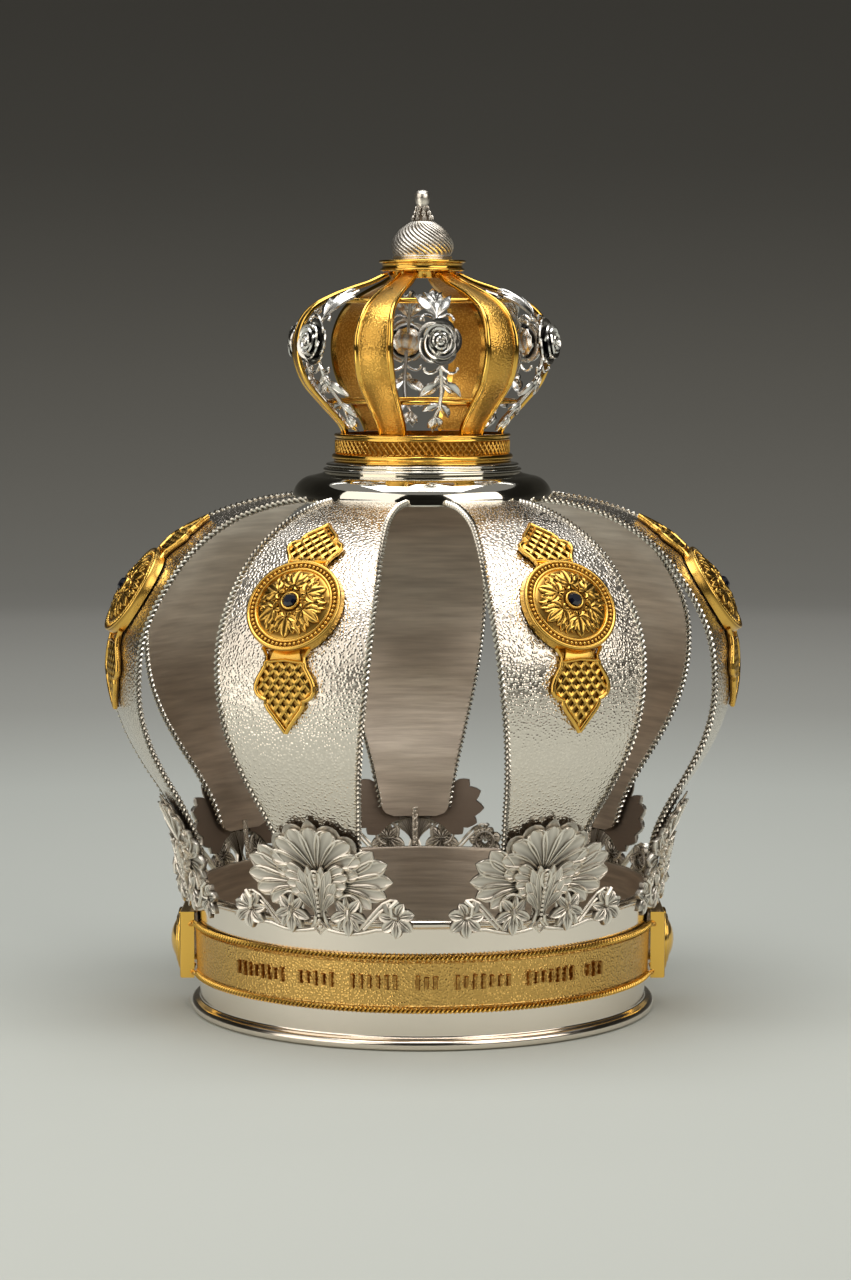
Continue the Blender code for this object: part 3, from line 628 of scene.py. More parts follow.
def make_band():
    bm = drawing()
    half = BAND_LENGTH / 2
    for edge, inward in ((BAND_HIGH, -1), (BAND_LOW, 1)):
        fillet = edge + inward * (2 * ROPE_RADIUS + 0.3)
        wire(bm, [(-half + BAND_LENGTH * step / 60, fillet, GROUND) for step in range(61)], 0.5, 5)
        for end in (-1, 1):
            path = [(end * (half - 1.0 + x), edge + inward * (ROPE_RADIUS + y), GROUND + z)
                    for x, y, z in HOOK]
            wire(bm, path, HOOK_RADII, 8)
        edging = drawing()
        twisted = rope(edging, BAND_LENGTH, ROPE_RADIUS, ROPE_PITCH)
        lay_along_band(twisted, edge + inward * (ROPE_RADIUS - 0.3))
        for face in edging.faces:
            face.material_index = 1
        take(bm, edging)
    ground = bmesh.ops.create_grid(bm, x_segments=120, y_segments=2, size=0.5)["verts"]
    for point in ground:
        point.co.x *= BAND_LENGTH
        point.co.y = BAND_LOW + (point.co.y + 0.5) * (BAND_HIGH - BAND_LOW)
        point.co.z = GROUND
    bmesh.ops.translate(bm, verts=thicken(bm, faces_of(ground)), vec=(0.0, 0.0, BAND_BACK - GROUND))
    return bm


# %% [markdown]
# Along the front band runs a row of short raised strokes, in groups like words, which stand for an
# inscription and spell nothing.  Each stroke is a block whose top is drawn in, like a bar struck from
# behind.  The heights are drawn at random from three, always in the same order.
# %% A row of strokes
STROKE_GROUPS = (8, 5, 6, 3, 7, 7, 3)
STROKE_SPACING = 3.9
GROUP_GAP = 6.2
STROKE_MIDDLE = 26.5
STROKE_SIZE = (2.5, 2.4)
STROKE_HEIGHTS = (7.4, 6.6, 5.8)


def add_strokes(bm):
    chance = random.Random(7)
    wide, deep = STROKE_SIZE
    across = -(sum(STROKE_GROUPS) * STROKE_SPACING + (len(STROKE_GROUPS) - 1) * GROUP_GAP) / 2
    strokes = drawing()
    for count in STROKE_GROUPS:
        for number in range(count):
            tall = chance.choice(STROKE_HEIGHTS)
            place = Matrix.Translation((across, STROKE_MIDDLE, GROUND + 0.3))
            block = place @ Matrix.Diagonal((wide, tall, deep, 1.0))
            bar = bmesh.ops.create_cube(strokes, size=1.0, matrix=block)["verts"]
            top = [point for point in bar if point.co.z > GROUND]
            bmesh.ops.scale(strokes, verts=top, vec=(0.5, 0.84, 1.0), space=place.inverted())
            across += STROKE_SPACING
        across += GROUP_GAP
    # Painted shadow: the feet black, and the tops a little dark as painted shade.
    for point in strokes.verts:
        set_patina_and_shade(strokes, [point], 1.0 if point.co.z < GROUND else 0.45)
    take(bm, strokes)


around_drum = upright(drum_radius, BAND_RADIUS)
for side, azimuth in (("front", 0.0), ("back", 180.0)):
    band = make_band()
    if side == "front":
        add_strokes(band)
    close_up(band)
    band_mesh = bend(finished(f"rope_edged_band_{side}", band), around_drum)
    band_mesh.transform(Matrix.Rotation(math.radians(azimuth), 4, "Z"))
    show(f"rope_edged_band_{side}", band_mesh, [stippled_gold, chased_gold],
         f"inscription_band_{side}")
    print("band:", side, len(band_mesh.polygons), "faces")

# %% [markdown]
# ## The side plaques
#
# A thick gold plate hides the joint of the two bands on each side, with a boss in the middle inside
# a beaded ring.  The plate is a cube with stepped and bevelled front edges, made with two insets; the
# boss is turned.  Both are drawn facing up, then stood against the drum's side.
# %% Plaque with its boss
PLAQUE = (39.0, 32.0)
PLAQUE_THICK = 7.0
# Where its face stands, from the axis and above the foot.
PLAQUE_FRONT = 116.4
PLAQUE_MIDDLE = 27.1
BOSS = 15.0


def make_plaque():
    bm = drawing()
    plate = Matrix.Translation((0.0, 0.0, -PLAQUE_THICK / 2)) @ Matrix.Diagonal((*PLAQUE, PLAQUE_THICK, 1.0))
    bmesh.ops.create_cube(bm, size=1.0, matrix=plate)
    upper = [edge for edge in bm.edges if all(end.co.z > -1.0 for end in edge.verts)]
    bmesh.ops.bevel(bm, geom=upper, offset=1.1, segments=3, affect="EDGES", profile=0.5, material=-1)
    top = max(bm.faces, key=lambda face: face.calc_center_median().z)
    bmesh.ops.inset_region(bm, faces=[top], thickness=1.2, depth=0.0)
    bmesh.ops.inset_region(bm, faces=[top], thickness=0.5, depth=-0.7)
    boss = drawing()
    turn(boss, [
        (0.0, 5.4), (2.4, 5.3), (4.8, 4.8), (7.2, 3.9), (9.2, 2.8), (10.2, 2.0),
        *arc((11.2, 1.7), 0.8, 150, 20, 4), (12.2, 0.6), (12.8, 0.6),
        *arc((14.0, 0.6), 1.0, 150, -10, 5), (BOSS, -1.5), (0.0, -1.5),
    ], 64, closed=False)
    bead_ring(boss, 40, 12.5, 0.9, 0.8)
    take(bm, boss)
    close_up(bm)
    return finished("gold_plaque", bm)


stood_up = Matrix(((1, 0, 0, 0), (0, 0, -1, -PLAQUE_FRONT), (0, 1, 0, PLAQUE_MIDDLE), (0, 0, 0, 1)))
plaque_mesh = make_plaque()
plaque_mesh.transform(Matrix.Scale(MM, 4) @ stood_up)
for side, azimuth in (("left", -90.0), ("right", 90.0)):
    turned_plaque = plaque_mesh.copy()
    turned_plaque.transform(Matrix.Rotation(math.radians(azimuth), 4, "Z"))
    show(f"gold_plaque_{side}", turned_plaque, [polished_gold], f"side_plaque_{side}")
print("plaque:", len(plaque_mesh.polygons), "faces")

# %% [markdown]
# ## The staves
#
# Seven wide straps of hammered silver rise from behind the palmettes, bow outward and close under
# the collar.  A strap is cut flat, narrow at both ends and widest at the shoulder, with its lower
# corners rounded.  It is hammered, a twisted wire is soldered along both edges, and then it is bowed.
# The grid's columns follow the edges, so the rope and the sheet share one outline.
# %% Hammered strap with twisted edges
STAVES = 7
STAVE_FIRST = 2.0 + 180.0 / STAVES
STAVE_SHEET = 1.4
STAVE_CURVE = meridian((
    (113.2, 70.0), (117.2, 85.0), (125.0, 100.0), (134.6, 115.0), (142.6, 130.0), (147.8, 146.0),
    (149.2, 163.0), (147.0, 180.0), (138.8, 198.0), (123.0, 218.0), (102.0, 232.0), (80.0, 239.3),
    (63.6, 241.6),
))
STAVE_LENGTH = STAVE_CURVE[0][-1]
stave_surface = bowed(STAVE_CURVE)
stave_half = width_rule(STAVE_CURVE, (70, 76, 90, 110, 140, 172, 200, 222, 236, 242),
                        (17.6, 19.2, 21.4, 27.0, 34.8, 39.2, 38.0, 32.6, 24.6, 20.3))


def smooth_half(along):
    """Half the strap's width, averaged along it so that its outline has no corners."""
    reach = 14.0
    return sum(stave_half(along + reach * step / 4) for step in range(-4, 5)) / 9


# The radius of the lower corners, how far the edge lies outside the sheet, and the rope on it.
STAVE_CORNER = 6.0
STAVE_EDGING = 1.4
STAVE_ROPE_RADIUS = 1.7
STAVE_ROPE_PITCH = 5.4


def make_stave():
    bm = drawing()
    sheet = bmesh.ops.create_grid(bm, x_segments=22, y_segments=76, size=0.5)["verts"]
    for point in sheet:
        share = point.co.x * 2.0
        # Rows crowd towards the foot, where the corners are round.
        along = (point.co.y + 0.5) ** 1.15 * STAVE_LENGTH
        half = smooth_half(along) - STAVE_EDGING
        if along < STAVE_CORNER:
            half -= STAVE_CORNER - math.sqrt(STAVE_CORNER**2 - (STAVE_CORNER - along) ** 2)
        point.co = Vector((share * half, along, 0.0))
    bmesh.ops.translate(bm, verts=thicken(bm, bm.faces[:]), vec=(0.0, 0.0, -STAVE_SHEET))
    for face in bm.faces:
        face.material_index = 1 if face.calc_center_median().z < -STAVE_SHEET / 2 - 0.1 else 0
    for side in (-1, 1):
        edging = rope(bm, STAVE_LENGTH - STAVE_CORNER, STAVE_ROPE_RADIUS, STAVE_ROPE_PITCH)
        for point in edging:
            along = point.co.y + STAVE_CORNER - 1.0
            edge = side * (smooth_half(along) - STAVE_EDGING)
            point.co = Vector((edge + point.co.x, along, point.co.z - 0.1))
        for face in faces_of(edging):
            face.material_index = 2
    close_up(bm)
    return bm


stave_mesh = bend(finished("hammered_stave", make_stave(), 50), stave_surface)
print("stave:", len(stave_mesh.polygons), "faces,", round(STAVE_LENGTH), "mm long")

# %% [markdown]
# Behind its palmette each strap stands on the drum's rim by a thin tongue, a flattened wire that
# leans out as it rises.
# %% Tongue, and the straps in their ring
RIM_MIDDLE = 109.5
TONGUE_OUT = 0.1
tongue = bmesh.new()
wire(tongue, [(0.0, 55.4, -0.2), (0.0, 62.0, 0.4), (0.0, 71.0, 1.6), (0.0, 75.0, 2.0)], 1.6, 12, 0.55)
tongue_mesh = bend(finished("tongue", tongue), upright(lambda height: RIM_MIDDLE + TONGUE_OUT, RIM_MIDDLE))
stave_mesh = joined("hammered_stave", stave_mesh, tongue_mesh)
show_ring("hammered_stave", stave_mesh, [hammered_silver, brushed_silver, wire_silver],
          "stave", STAVES, STAVE_FIRST)


# %% [markdown]
# ## The palmettes
#
# In front of each strap's foot stands a cast shell: a tall fluted fan, a fluted wing on each side
# behind it, a small shell on each side of a beaded stem, and below them scrolls, ivy leaves and an
# open flower of leaves.  Every lobe is one hollow blade, and neighbours overlap, so that their raised
# edges meet as the ridges of the casting.  The fan has a second edge behind the first, lower, and
# darker by painted shade.  The back is flat, as the back of an open mould leaves it, and the wings
# stand off the drum, because the casting is bent less than the drum is.  Only the right half is
# listed; the left is its mirror.
# %% Sizes of the casting
PALMETTE_LOW = 48.4
PALMETTE_HIGH = 102.0
# Its back's radius at the foot, how much that grows to the top, and how far the sides stand off.
PALMETTE_RADIUS = 112.1
PALMETTE_FLARE = 15.6
PALMETTE_SPREAD = 2.8
# The radius at which distances across are true, and the lift of the flat back.
PALMETTE_WIDTH_RADIUS = 116.0
PALMETTE_BACK = 0.3


def palmette_radius(height):
    """The casting leans out towards its top, more and more steeply."""
    rise = np.clip((height - PALMETTE_LOW) / (PALMETTE_HIGH - PALMETTE_LOW), 0.0, None)
    return PALMETTE_RADIUS + PALMETTE_FLARE * rise**2


# %% Fan, wings and centre leaf
# Each line gives a lobe's root, middle and tip as (across, height), and its width, from the topmost
# lobe down.  The fan's own middle lobe is drawn by itself, and so is the one behind it.
MIDDLE_LOBE = ((0.0, 77.8), (0.0, 89.0), (0.0, 98.4), 9.8)
LOBE_BEHIND = ((0.0, 77.0), (0.0, 90.0), (0.0, 102.2), 10.0)
FAN = (
    ((0.6, 77.6), (4.2, 88.6), (9.4, 96.8), 9.6),
    ((1.6, 77.2), (8.6, 87.6), (17.4, 90.8), 9.4),
    ((2.6, 76.4), (11.6, 83.6), (21.4, 82.8), 8.6),
    ((3.4, 75.2), (11.6, 78.2), (19.6, 75.6), 7.4),
)
WING = (
    ((9.0, 73.0), (20.2, 80.4), (27.0, 88.2), 8.8),
    ((9.0, 72.0), (22.6, 78.4), (33.2, 82.4), 9.2),
    ((9.0, 71.0), (23.4, 74.2), (35.4, 73.8), 9.0),
    ((9.0, 70.0), (22.6, 70.2), (32.2, 66.2), 8.6),
    ((8.0, 69.0), (18.8, 67.8), (25.0, 60.6), 8.0),
)
SMALL_SHELL = (
    ((2.4, 71.6), (7.4, 77.6), (13.4, 79.4), 5.6),
    ((2.4, 70.8), (8.4, 74.8), (15.2, 75.2), 5.4),
    ((2.4, 70.0), (8.2, 72.0), (14.2, 70.8), 5.2),
    ((2.4, 69.0), (7.4, 69.4), (12.2, 66.8), 4.8),
)
CENTRE_LEAF = (
    ((1.5, 56.0), (1.6, 68.0), (3.4, 80.2), 4.8),
    ((1.5, 56.6), (3.0, 69.0), (7.4, 78.6), 5.2),
    ((1.6, 57.4), (5.0, 67.2), (9.4, 72.6), 5.0),
    ((1.7, 58.2), (5.0, 64.0), (8.6, 67.0), 4.4),
)


def both_sides(bm, root, middle, tip, width, **how):
    """The same blade to the right and to the left of the stem."""
    blade(bm, root, middle, tip, width, **how)
    blade(bm, *mirrored((root, middle, tip)), width, **how)


def add_edge_behind(bm):
    """The second edge: the fan's upper lobes again, longer, wider and lower."""
    how = {"lift": (0.9, 1.2, 1.0), "edge": 0.4, "flat_back": PALMETTE_BACK}
    blade(bm, *LOBE_BEHIND, shape=IVY, **how)
    for root, middle, tip, width in FAN[:3]:
        beyond = Vector(tip) + (Vector(tip) - Vector(middle)).normalized() * 2.4
        both_sides(bm, root, middle, tuple(beyond), width + 1.6, **how)


def add_shell(bm):
    """Wings first, then the fan, and the small shell and leaf on top; each set overlaps downwards."""
    for number, lobe in enumerate(reversed(WING)):
        both_sides(bm, *lobe, shape=POINTED, lift=(1.0, 1.4 + 0.1 * number, 1.9), edge=1.2,
                   flat_back=PALMETTE_BACK)
    add_edge_behind(bm)
    for number, lobe in enumerate(reversed(FAN)):
        both_sides(bm, *lobe, lift=(1.8, 2.4 + 0.16 * number, 2.0), edge=1.4, rows=10,
                   flat_back=PALMETTE_BACK)
    blade(bm, *MIDDLE_LOBE, lift=(1.8, 3.0, 2.2), edge=1.4, rows=10, flat_back=PALMETTE_BACK)
    for number, lobe in enumerate(reversed(SMALL_SHELL)):
        both_sides(bm, *lobe, lift=(3.0, 3.8, 4.4 - 0.2 * number), edge=0.9, thick=1.8)
    for number, lobe in enumerate(reversed(CENTRE_LEAF)):
        both_sides(bm, *lobe, shape=POINTED, lift=(3.4, 4.6, 5.2 - 0.25 * number), edge=0.7, thick=1.6)


# %% [markdown]
# The stem is a string of beads in a channel between two thin wires, painted dark with patina and
# painted shade.  It widens at the top into a drop and ends at the foot in a small square frame set on
# its corner, with one bead inside.
# %% Beaded stem, drop and foot
STEM_LIFT = 4.6
DROP_MIDDLE = 73.6
DROP_BEADS = ((75.7, 1.0), (DROP_MIDDLE, 1.1), (71.5, 0.9))
STEM_BEADS = 8


def closed_path(rule, steps):
    """Points of a closed outline, with the first repeated so that a wire along it meets itself."""
    return [rule(math.tau * step / steps) for step in range(steps + 1)]


def add_stem(bm):
    drop = closed_path(lambda turned: (2.3 * math.sin(turned) * (1 - 0.3 * math.cos(turned)),
                                       DROP_MIDDLE - 4.2 * math.cos(turned), STEM_LIFT + 0.3), 18)
    wire(bm, drop, 0.6, 6)
    channel = [(0.0, 77.4, STEM_LIFT - 0.4), (0.0, 69.0, STEM_LIFT - 0.4), (0.0, 62.0, 3.2), (0.0, 53.0, 2.0)]
    # The channel is painted dark: patina and painted shade between the beads.
    set_patina_and_shade(bm, wire(bm, channel, (1.2, 1.9, 1.7, 1.7), 8, 0.3))
    for height, size in DROP_BEADS:
        bead(bm, (0.0, height, STEM_LIFT + 0.3), size)
    for number in range(STEM_BEADS):
        bead(bm, (0.0, 69.2 - 2.1 * number, STEM_LIFT + 0.4 - 0.22 * number), 0.9)
    for side in (-1, 1):
        rail = [(side * 1.5, 69.0, STEM_LIFT - 0.5), (side * 1.5, 62.0, 3.4), (side * 1.9, 57.0, 2.6),
                (side * 3.2, 52.8, 2.0), (side * 5.0, 50.8, 1.6)]
        wire(bm, rail, (0.5, 0.6, 0.8, 0.9, 0.6), 6)
    corners = ((0.0, 54.2), (2.9, 51.1), (0.0, 48.2), (-2.9, 51.1), (0.0, 54.2), (2.9, 51.1))
    wire(bm, [(*corner, 2.4) for corner in corners], 0.7, 6)
    bead(bm, (0.0, 51.2, 2.2), 1.35)


# %% [markdown]
# Below the shell run scrolls.  A ring holds an ivy leaf with eight lobes, a strap of two wires arches
# from there to the flower, and a level rail ties them all.
# %% Scrolls, ivy leaves and flowers


def ring(centre, radius, start, stop, lift, steps=14):
    """Points of an arc in the flat drawing, with angles in degrees from the right."""
    return [(*place, lift) for place in arc(centre, radius, start, stop, steps)]


def both_wires(bm, path, radius, sides=6):
    wire(bm, path, radius, sides)
    wire(bm, mirrored(path), radius, sides)


def both_leaves(bm, root, middle, tip, width, lift):
    """A small veined leaf on each side of the stem, as the ivy and the flower have."""
    both_sides(bm, root, middle, tip, width, shape=IVY, lift=lift, edge=0.9, section=VEINED, thick=1.8,
               rows=6)


IVY_HEART = (14.2, 58.4)
# Each line gives a lobe's middle and tip, and its width.
IVY_LOBES = (
    ((11.8, 59.8), (8.0, 64.8), 5.0), ((16.4, 61.2), (19.8, 64.6), 5.4), ((13.6, 61.6), (13.2, 66.4), 3.6),
    ((10.4, 57.4), (5.4, 54.6), 5.6), ((11.6, 54.4), (9.4, 50.2), 4.4), ((14.2, 53.6), (14.2, 47.6), 6.0),
    ((16.8, 54.4), (19.2, 50.2), 4.4), ((18.0, 57.4), (22.8, 54.6), 5.6),
)


def add_scrolls(bm):
    both_wires(bm, ring((14.4, 61.0), 5.8, 200, -80, 2.2, 16), 0.85, 8)
    both_wires(bm, [(3.4, 50.0, 1.4), (8.0, 49.2, 1.6), (14.0, 48.6, 1.6), (20.0, 49.4, 1.6),
                    (27.0, 51.2, 1.4), (33.0, 51.4, 1.4)], 0.9, 8)
    for offset in (0.0, 2.3):
        arch = [(19.0 + offset, 51.2), (22.8 + offset, 55.2), (26.6 + offset, 59.6),
                (30.4 + offset / 3, 63.6 - offset), (34.2, 65.6 - offset), (37.2, 65.2 - offset)]
        both_wires(bm, [(*point, 2.6) for point in arch], 0.75)
    for middle, tip, width in IVY_LOBES:
        both_leaves(bm, IVY_HEART, middle, tip, width, (3.0, 4.0, 2.8))
    both_wires(bm, [(14.2, 60.4, 4.4), (14.2, 58.2, 5.4), (14.2, 55.6, 4.6)], (0.7, 1.0, 0.4))


FLOWER = (36.4, 57.2)
# Each petal's angle from the right in degrees, its length and its width.
FLOWER_PETALS = (
    (12.0, 8.4, 6.4), (62.0, 7.6, 5.4), (118.0, 8.8, 6.0), (172.0, 8.0, 5.4),
    (222.0, 8.8, 6.2), (268.0, 9.4, 6.0), (318.0, 9.2, 6.4),
)


def add_flowers(bm):
    """An open flower of leaves with pierced gaps, and the curl of the arch that ends in it."""
    heart = Vector(FLOWER)
    for turned, length, width in FLOWER_PETALS:
        ahead = Vector((math.cos(math.radians(turned)), math.sin(math.radians(turned))))
        aside = Vector((-ahead.y, ahead.x))
        middle = heart + ahead * length * 0.55 + aside * 0.9
        both_leaves(bm, tuple(heart + ahead * 1.4), tuple(middle), tuple(heart + ahead * length), width,
                    (2.6, 4.4, 2.6))
    both_wires(bm, ring(FLOWER, 4.6, 0, 360, 1.6, 16), 0.8)
    curl = ((0.8, 8.2, 3.4), (-2.2, 5.2, 5.0), (-1.8, 1.0, 5.2), (0.0, 0.0, 3.4))
    both_wires(bm, [(FLOWER[0] + x, FLOWER[1] + y, lift) for x, y, lift in curl], (1.2, 0.9, 0.7, 0.9))


def make_palmette():
    """One palmette, with its face cast and its flat back brushed."""
    bm = drawing()
    add_shell(bm)
    add_stem(bm)
    add_scrolls(bm)
    add_flowers(bm)
    # Patina and painted shade by lift: the low parts, the edge behind the fan and the flat back darken.
    patina_and_shade_by_lift(bm, 1.9, 0.5)
    close_up(bm)
    for face in bm.faces:
        behind = face.normal.z < -0.7 and face.calc_center_median().z < PALMETTE_BACK + 0.1
        face.material_index = 1 if behind else 0
    for point in bm.verts:
        point.co.z += PALMETTE_SPREAD * (point.co.x / FLOWER[0]) ** 2
    return finished("shell_palmette", bm, 50)


palmette_mesh = bend(make_palmette(), upright(palmette_radius, PALMETTE_WIDTH_RADIUS))
show_ring("shell_palmette", palmette_mesh, [cast_silver, brushed_silver],
          "palmette", STAVES, STAVE_FIRST)


# %% [markdown]
# ## The medallions
#
# A gilded disc sits on each strap's shoulder.  Its rim is two plain mouldings with a row of beads
# between them, and inside it rises a low dome of chased foliage with a stone at its middle.  The disc
# is flat while the strap is bowed, so its side is deeper above and below than at its centre.
# %% Where the medallion sits
MEDALLION_ALONG = length_at(STAVE_CURVE, 198.0)
SEAT = np.array(stave_surface(0.0, MEDALLION_ALONG, 0.0), float)
OUTWARD = np.array(stave_surface(0.0, MEDALLION_ALONG, 1.0), float) - SEAT
UPWARD = np.cross(OUTWARD, (1.0, 0.0, 0.0))
# Radii of the stone's bezel, of the dome round it and of the whole disc.
BEZEL = 4.7
DOME = 17.3
DISC = 22.5
# The flat ring that the beads stand on, and the beads' own circle.
BEAD_GROUND = 2.9
BEAD_CIRCLE = 19.7
BEADS = 58


def disc_plane(across, along, lift):
    """The flat plane of the disc, as a rule for bend."""
    place = SEAT[:, None] + UPWARD[:, None] * along + OUTWARD[:, None] * lift
    return place[0] + across, place[1], place[2]


def dome(radius):
    """The height of the chased dome above the strap, at a radius from its middle."""
    return float(np.interp(radius, (4.5, 8.0, 12.0, 15.5, 17.4), (6.5, 6.2, 5.4, 4.2, 3.2)))


# %% [markdown]
# The body is turned.  The ring of points round its back is then set down on the strap's own curve, a
# little above the metal.  Foliage is laid on the dome in six equal sprays: a wide leaf that points
# to the rim, three that curl away on each side of it, and a small pair that clasps the stone.
# %% Disc, beads and foliage


def make_disc():
    bm = drawing()
    turn(bm, [
        (0.0, 6.7), (3.0, 6.7), (3.3, 7.5), *arc((3.9, 7.5), 0.5, 150, 10, 4), (BEZEL, 6.4),
        *[(radius, dome(radius)) for radius in (5.4, 8.0, 10.0, 12.0, 14.0, 15.8, DOME)],
        *arc((17.95, 3.3), 0.65, 170, 10, 5), (18.7, BEAD_GROUND), (20.7, BEAD_GROUND),
        *arc((21.6, 3.0), 0.9, 160, 0, 6), (DISC, 1.4), (DISC, 0.0), (DISC - 1.6, 0.0), (0.0, 0.0),
    ], 96, closed=False)
    bead_ring(bm, BEADS, BEAD_CIRCLE, BEAD_GROUND + 0.3, 0.86)
    return bm


def on_dome(bm, angle, start, bow, stop, width, rise=0.5):
    """A leaf laid on the dome between three places, each given as (radius, degrees off its spray)."""
    flat = []
    lifts = []
    for radius, turned in (start, bow, stop):
        at = angle + math.radians(turned)
        flat.append((radius * math.cos(at), radius * math.sin(at)))
        lifts.append(dome(radius) + rise)
    lifts[1] += 0.25
    blade(bm, *flat, width, IVY, lifts, 0.6, VEIN, 1.1, 6)


SPRAYS = 6
# Each side leaf's three places, as (radius, degrees off its spray), and its width.
SIDE_LEAVES = (
    ((12.2, 14), (13.6, 28), (16.6, 24), 3.4),
    ((8.0, 5), (8.2, 20), (11.2, 28), 3.8),
    ((8.8, 3), (10.8, 21), (15.4, 15), 5.0),
    ((7.6, 2), (7.0, 14), (5.8, 20), 2.8),
)


def add_foliage(bm):
    for spray in range(SPRAYS):
        angle = math.tau * spray / SPRAYS + math.radians(90.0)
        for side in (-1, 1):
            for *places, width in SIDE_LEAVES:
                on_dome(bm, angle, *[(radius, side * turned) for radius, turned in places], width)
        on_dome(bm, angle, (8.4, 0), (12.6, 0), (16.8, 0), 5.4, 0.7)
        between = angle + math.pi / SPRAYS
        for radius, size in ((7.0, 0.7), (13.4, 0.8)):
            place = (radius * math.cos(between), radius * math.sin(between), dome(radius) + 0.2)
            bead(bm, place, size, 0.7, 4)


# %% [markdown]
# Above and below the disc stand pierced plates.  The lattice starts as a grid turned by an eighth of
# a turn: every square is inset by itself, the inner face is thrown away, and bars with holes between
# them remain.  What falls outside the plate's outline is cut off, and a rim is laid over the cut.
# A thin sheet closes each hole from behind; it and the bars' low sides are darkened as painted shade.
# %% Pierced lattice plates
# Each row is a distance along the strap from the disc's centre, and half the plate's width there.
LOWER_PLATE = ((25.4, 9.2), (27.4, 9.6), (30.0, 11.2), (32.6, 12.8), (35.2, 13.8), (37.6, 13.9), (39.6, 12.9),
               (41.0, 11.0), (41.7, 9.0), (43.6, 8.9), (46.0, 7.6), (49.4, 4.8), (52.8, 2.2), (56.0, 0.0))
UPPER_PLATE = ((23.6, 9.2), (26.0, 10.2), (28.6, 12.0), (31.2, 12.9), (33.4, 12.4), (35.0, 10.4), (35.8, 7.8),
               (37.6, 8.2), (40.0, 7.2), (43.0, 4.6), (46.0, 2.0), (49.0, 0.0))
# A hole's pitch across and along, half a bar's width, and the heights of the bars and of the sheet painted
# dark as the shade in the holes.
CELL = (5.1, 5.9)
HALF_BAR = 0.86
PLATE_RAISE = 2.2
BAR_DEEP = 1.5
SHADE_SHEET_RAISE = 0.9
SHADE_SHEET_DEEP = 0.6


def plate_half(outline, along):
    """Half the plate's width at a distance along, and nothing beyond its ends."""
    places, halves = zip(*outline)
    return float(np.interp(along, places, halves, left=-1.0, right=-1.0))


def add_lattice(bm, outline):
    """Diagonal bars with holes between them, on a sheet that follows the outline and is later painted dark as
    shade.
    """
    bars = drawing()
    bmesh.ops.create_grid(bars, x_segments=10, y_segments=10, size=5.0)
    turned = Matrix.Diagonal((CELL[0] / math.sqrt(2), CELL[1] / math.sqrt(2), 1.0, 1.0))
    start = Matrix.Translation((0.0, outline[0][0] + 3.0 + CELL[1] * 2.0, PLATE_RAISE))
    bmesh.ops.transform(bars, matrix=start @ turned @ Matrix.Rotation(math.pi / 4, 4, "Z"), verts=bars.verts)
    insets = bmesh.ops.inset_individual(bars, faces=bars.faces[:], thickness=HALF_BAR, depth=0.0)["faces"]
    holes = set(bars.faces) - set(insets)
    bmesh.ops.delete(bars, geom=list(holes), context="FACES")
    corners = [point for point in bars.verts if len(point.link_edges) == 3]
    bmesh.ops.smooth_vert(bars, verts=corners, factor=0.25, use_axis_x=True, use_axis_y=True)
    outside = [face for face in bars.faces
               if all(abs(point.co.x) > plate_half(outline, point.co.y) for point in face.verts)]
    bmesh.ops.delete(bars, geom=outside, context="FACES")
    first, last = outline[0][0], outline[-1][0]
    for point in bars.verts:
        along = min(max(point.co.y, first), last)
        half = plate_half(outline, along)
        point.co.x = min(max(point.co.x, -half), half)
        point.co.y = along
        crossing = len(point.link_edges) > 5
        if crossing:
            point.co.z += 0.5
    bmesh.ops.translate(bars, verts=thicken(bars, bars.faces[:]), vec=(0.0, 0.0, -BAR_DEEP))
    bmesh.ops.dissolve_degenerate(bars, dist=0.05, edges=bars.edges[:])
    # The sheet under the holes, darkened later by its lift as painted shade.
    seat = bmesh.ops.create_grid(bars, x_segments=6, y_segments=24, size=0.5)["verts"]
    low = first - 5.0
    for point in seat:
        along = low + (point.co.y + 0.5) * (last - low)
        half = max(plate_half(outline, max(along, first)), 0.4)
        point.co = Vector((point.co.x * 2.0 * half, along, SHADE_SHEET_RAISE))
    bmesh.ops.translate(bars, verts=thicken(bars, faces_of(seat)), vec=(0.0, 0.0, -SHADE_SHEET_DEEP))
    take(bm, bars)


def add_plate_rim(bm, outline):
    """A smooth rim round the plate, and the neck that joins the plate to the disc."""
    first, base = outline[0]
    right = [(half, along, PLATE_RAISE) for along, half in outline]
    wire(bm, right, 1.1, 8, 1.1)
    wire(bm, mirrored(right), 1.1, 8, 1.1)
    across = [(-base, first, PLATE_RAISE), (0.0, first - 1.0, PLATE_RAISE), (base, first, PLATE_RAISE)]
    wire(bm, across, 0.8, 8, 1.4)
    for side in (-1, 1):
        wire(bm, [(side * base, first + 0.4, PLATE_RAISE), (side * (base - 0.2), first - 2.4, PLATE_RAISE),
                  (side * (base + 2.0), first - 6.0, PLATE_RAISE)], (0.8, 0.7, 0.9), 8, 1.4)
    neck = bmesh.ops.create_cube(bm, size=1.0, matrix=Matrix.Translation((0.0, first - 3.0, 1.5))
                                 @ Matrix.Diagonal((2 * base - 4.4, 6.0, 1.2, 1.0)))["verts"]
    for point in neck:
        # The neck widens a little towards the plate.
        point.co.x *= 1.0 + 0.14 * (point.co.y - first + 3.0) / 3.0
    edges = list({edge for point in neck for edge in point.link_edges})
    bmesh.ops.bevel(bm, geom=edges, offset=0.3, segments=2, affect="EDGES", profile=0.5, material=-1)


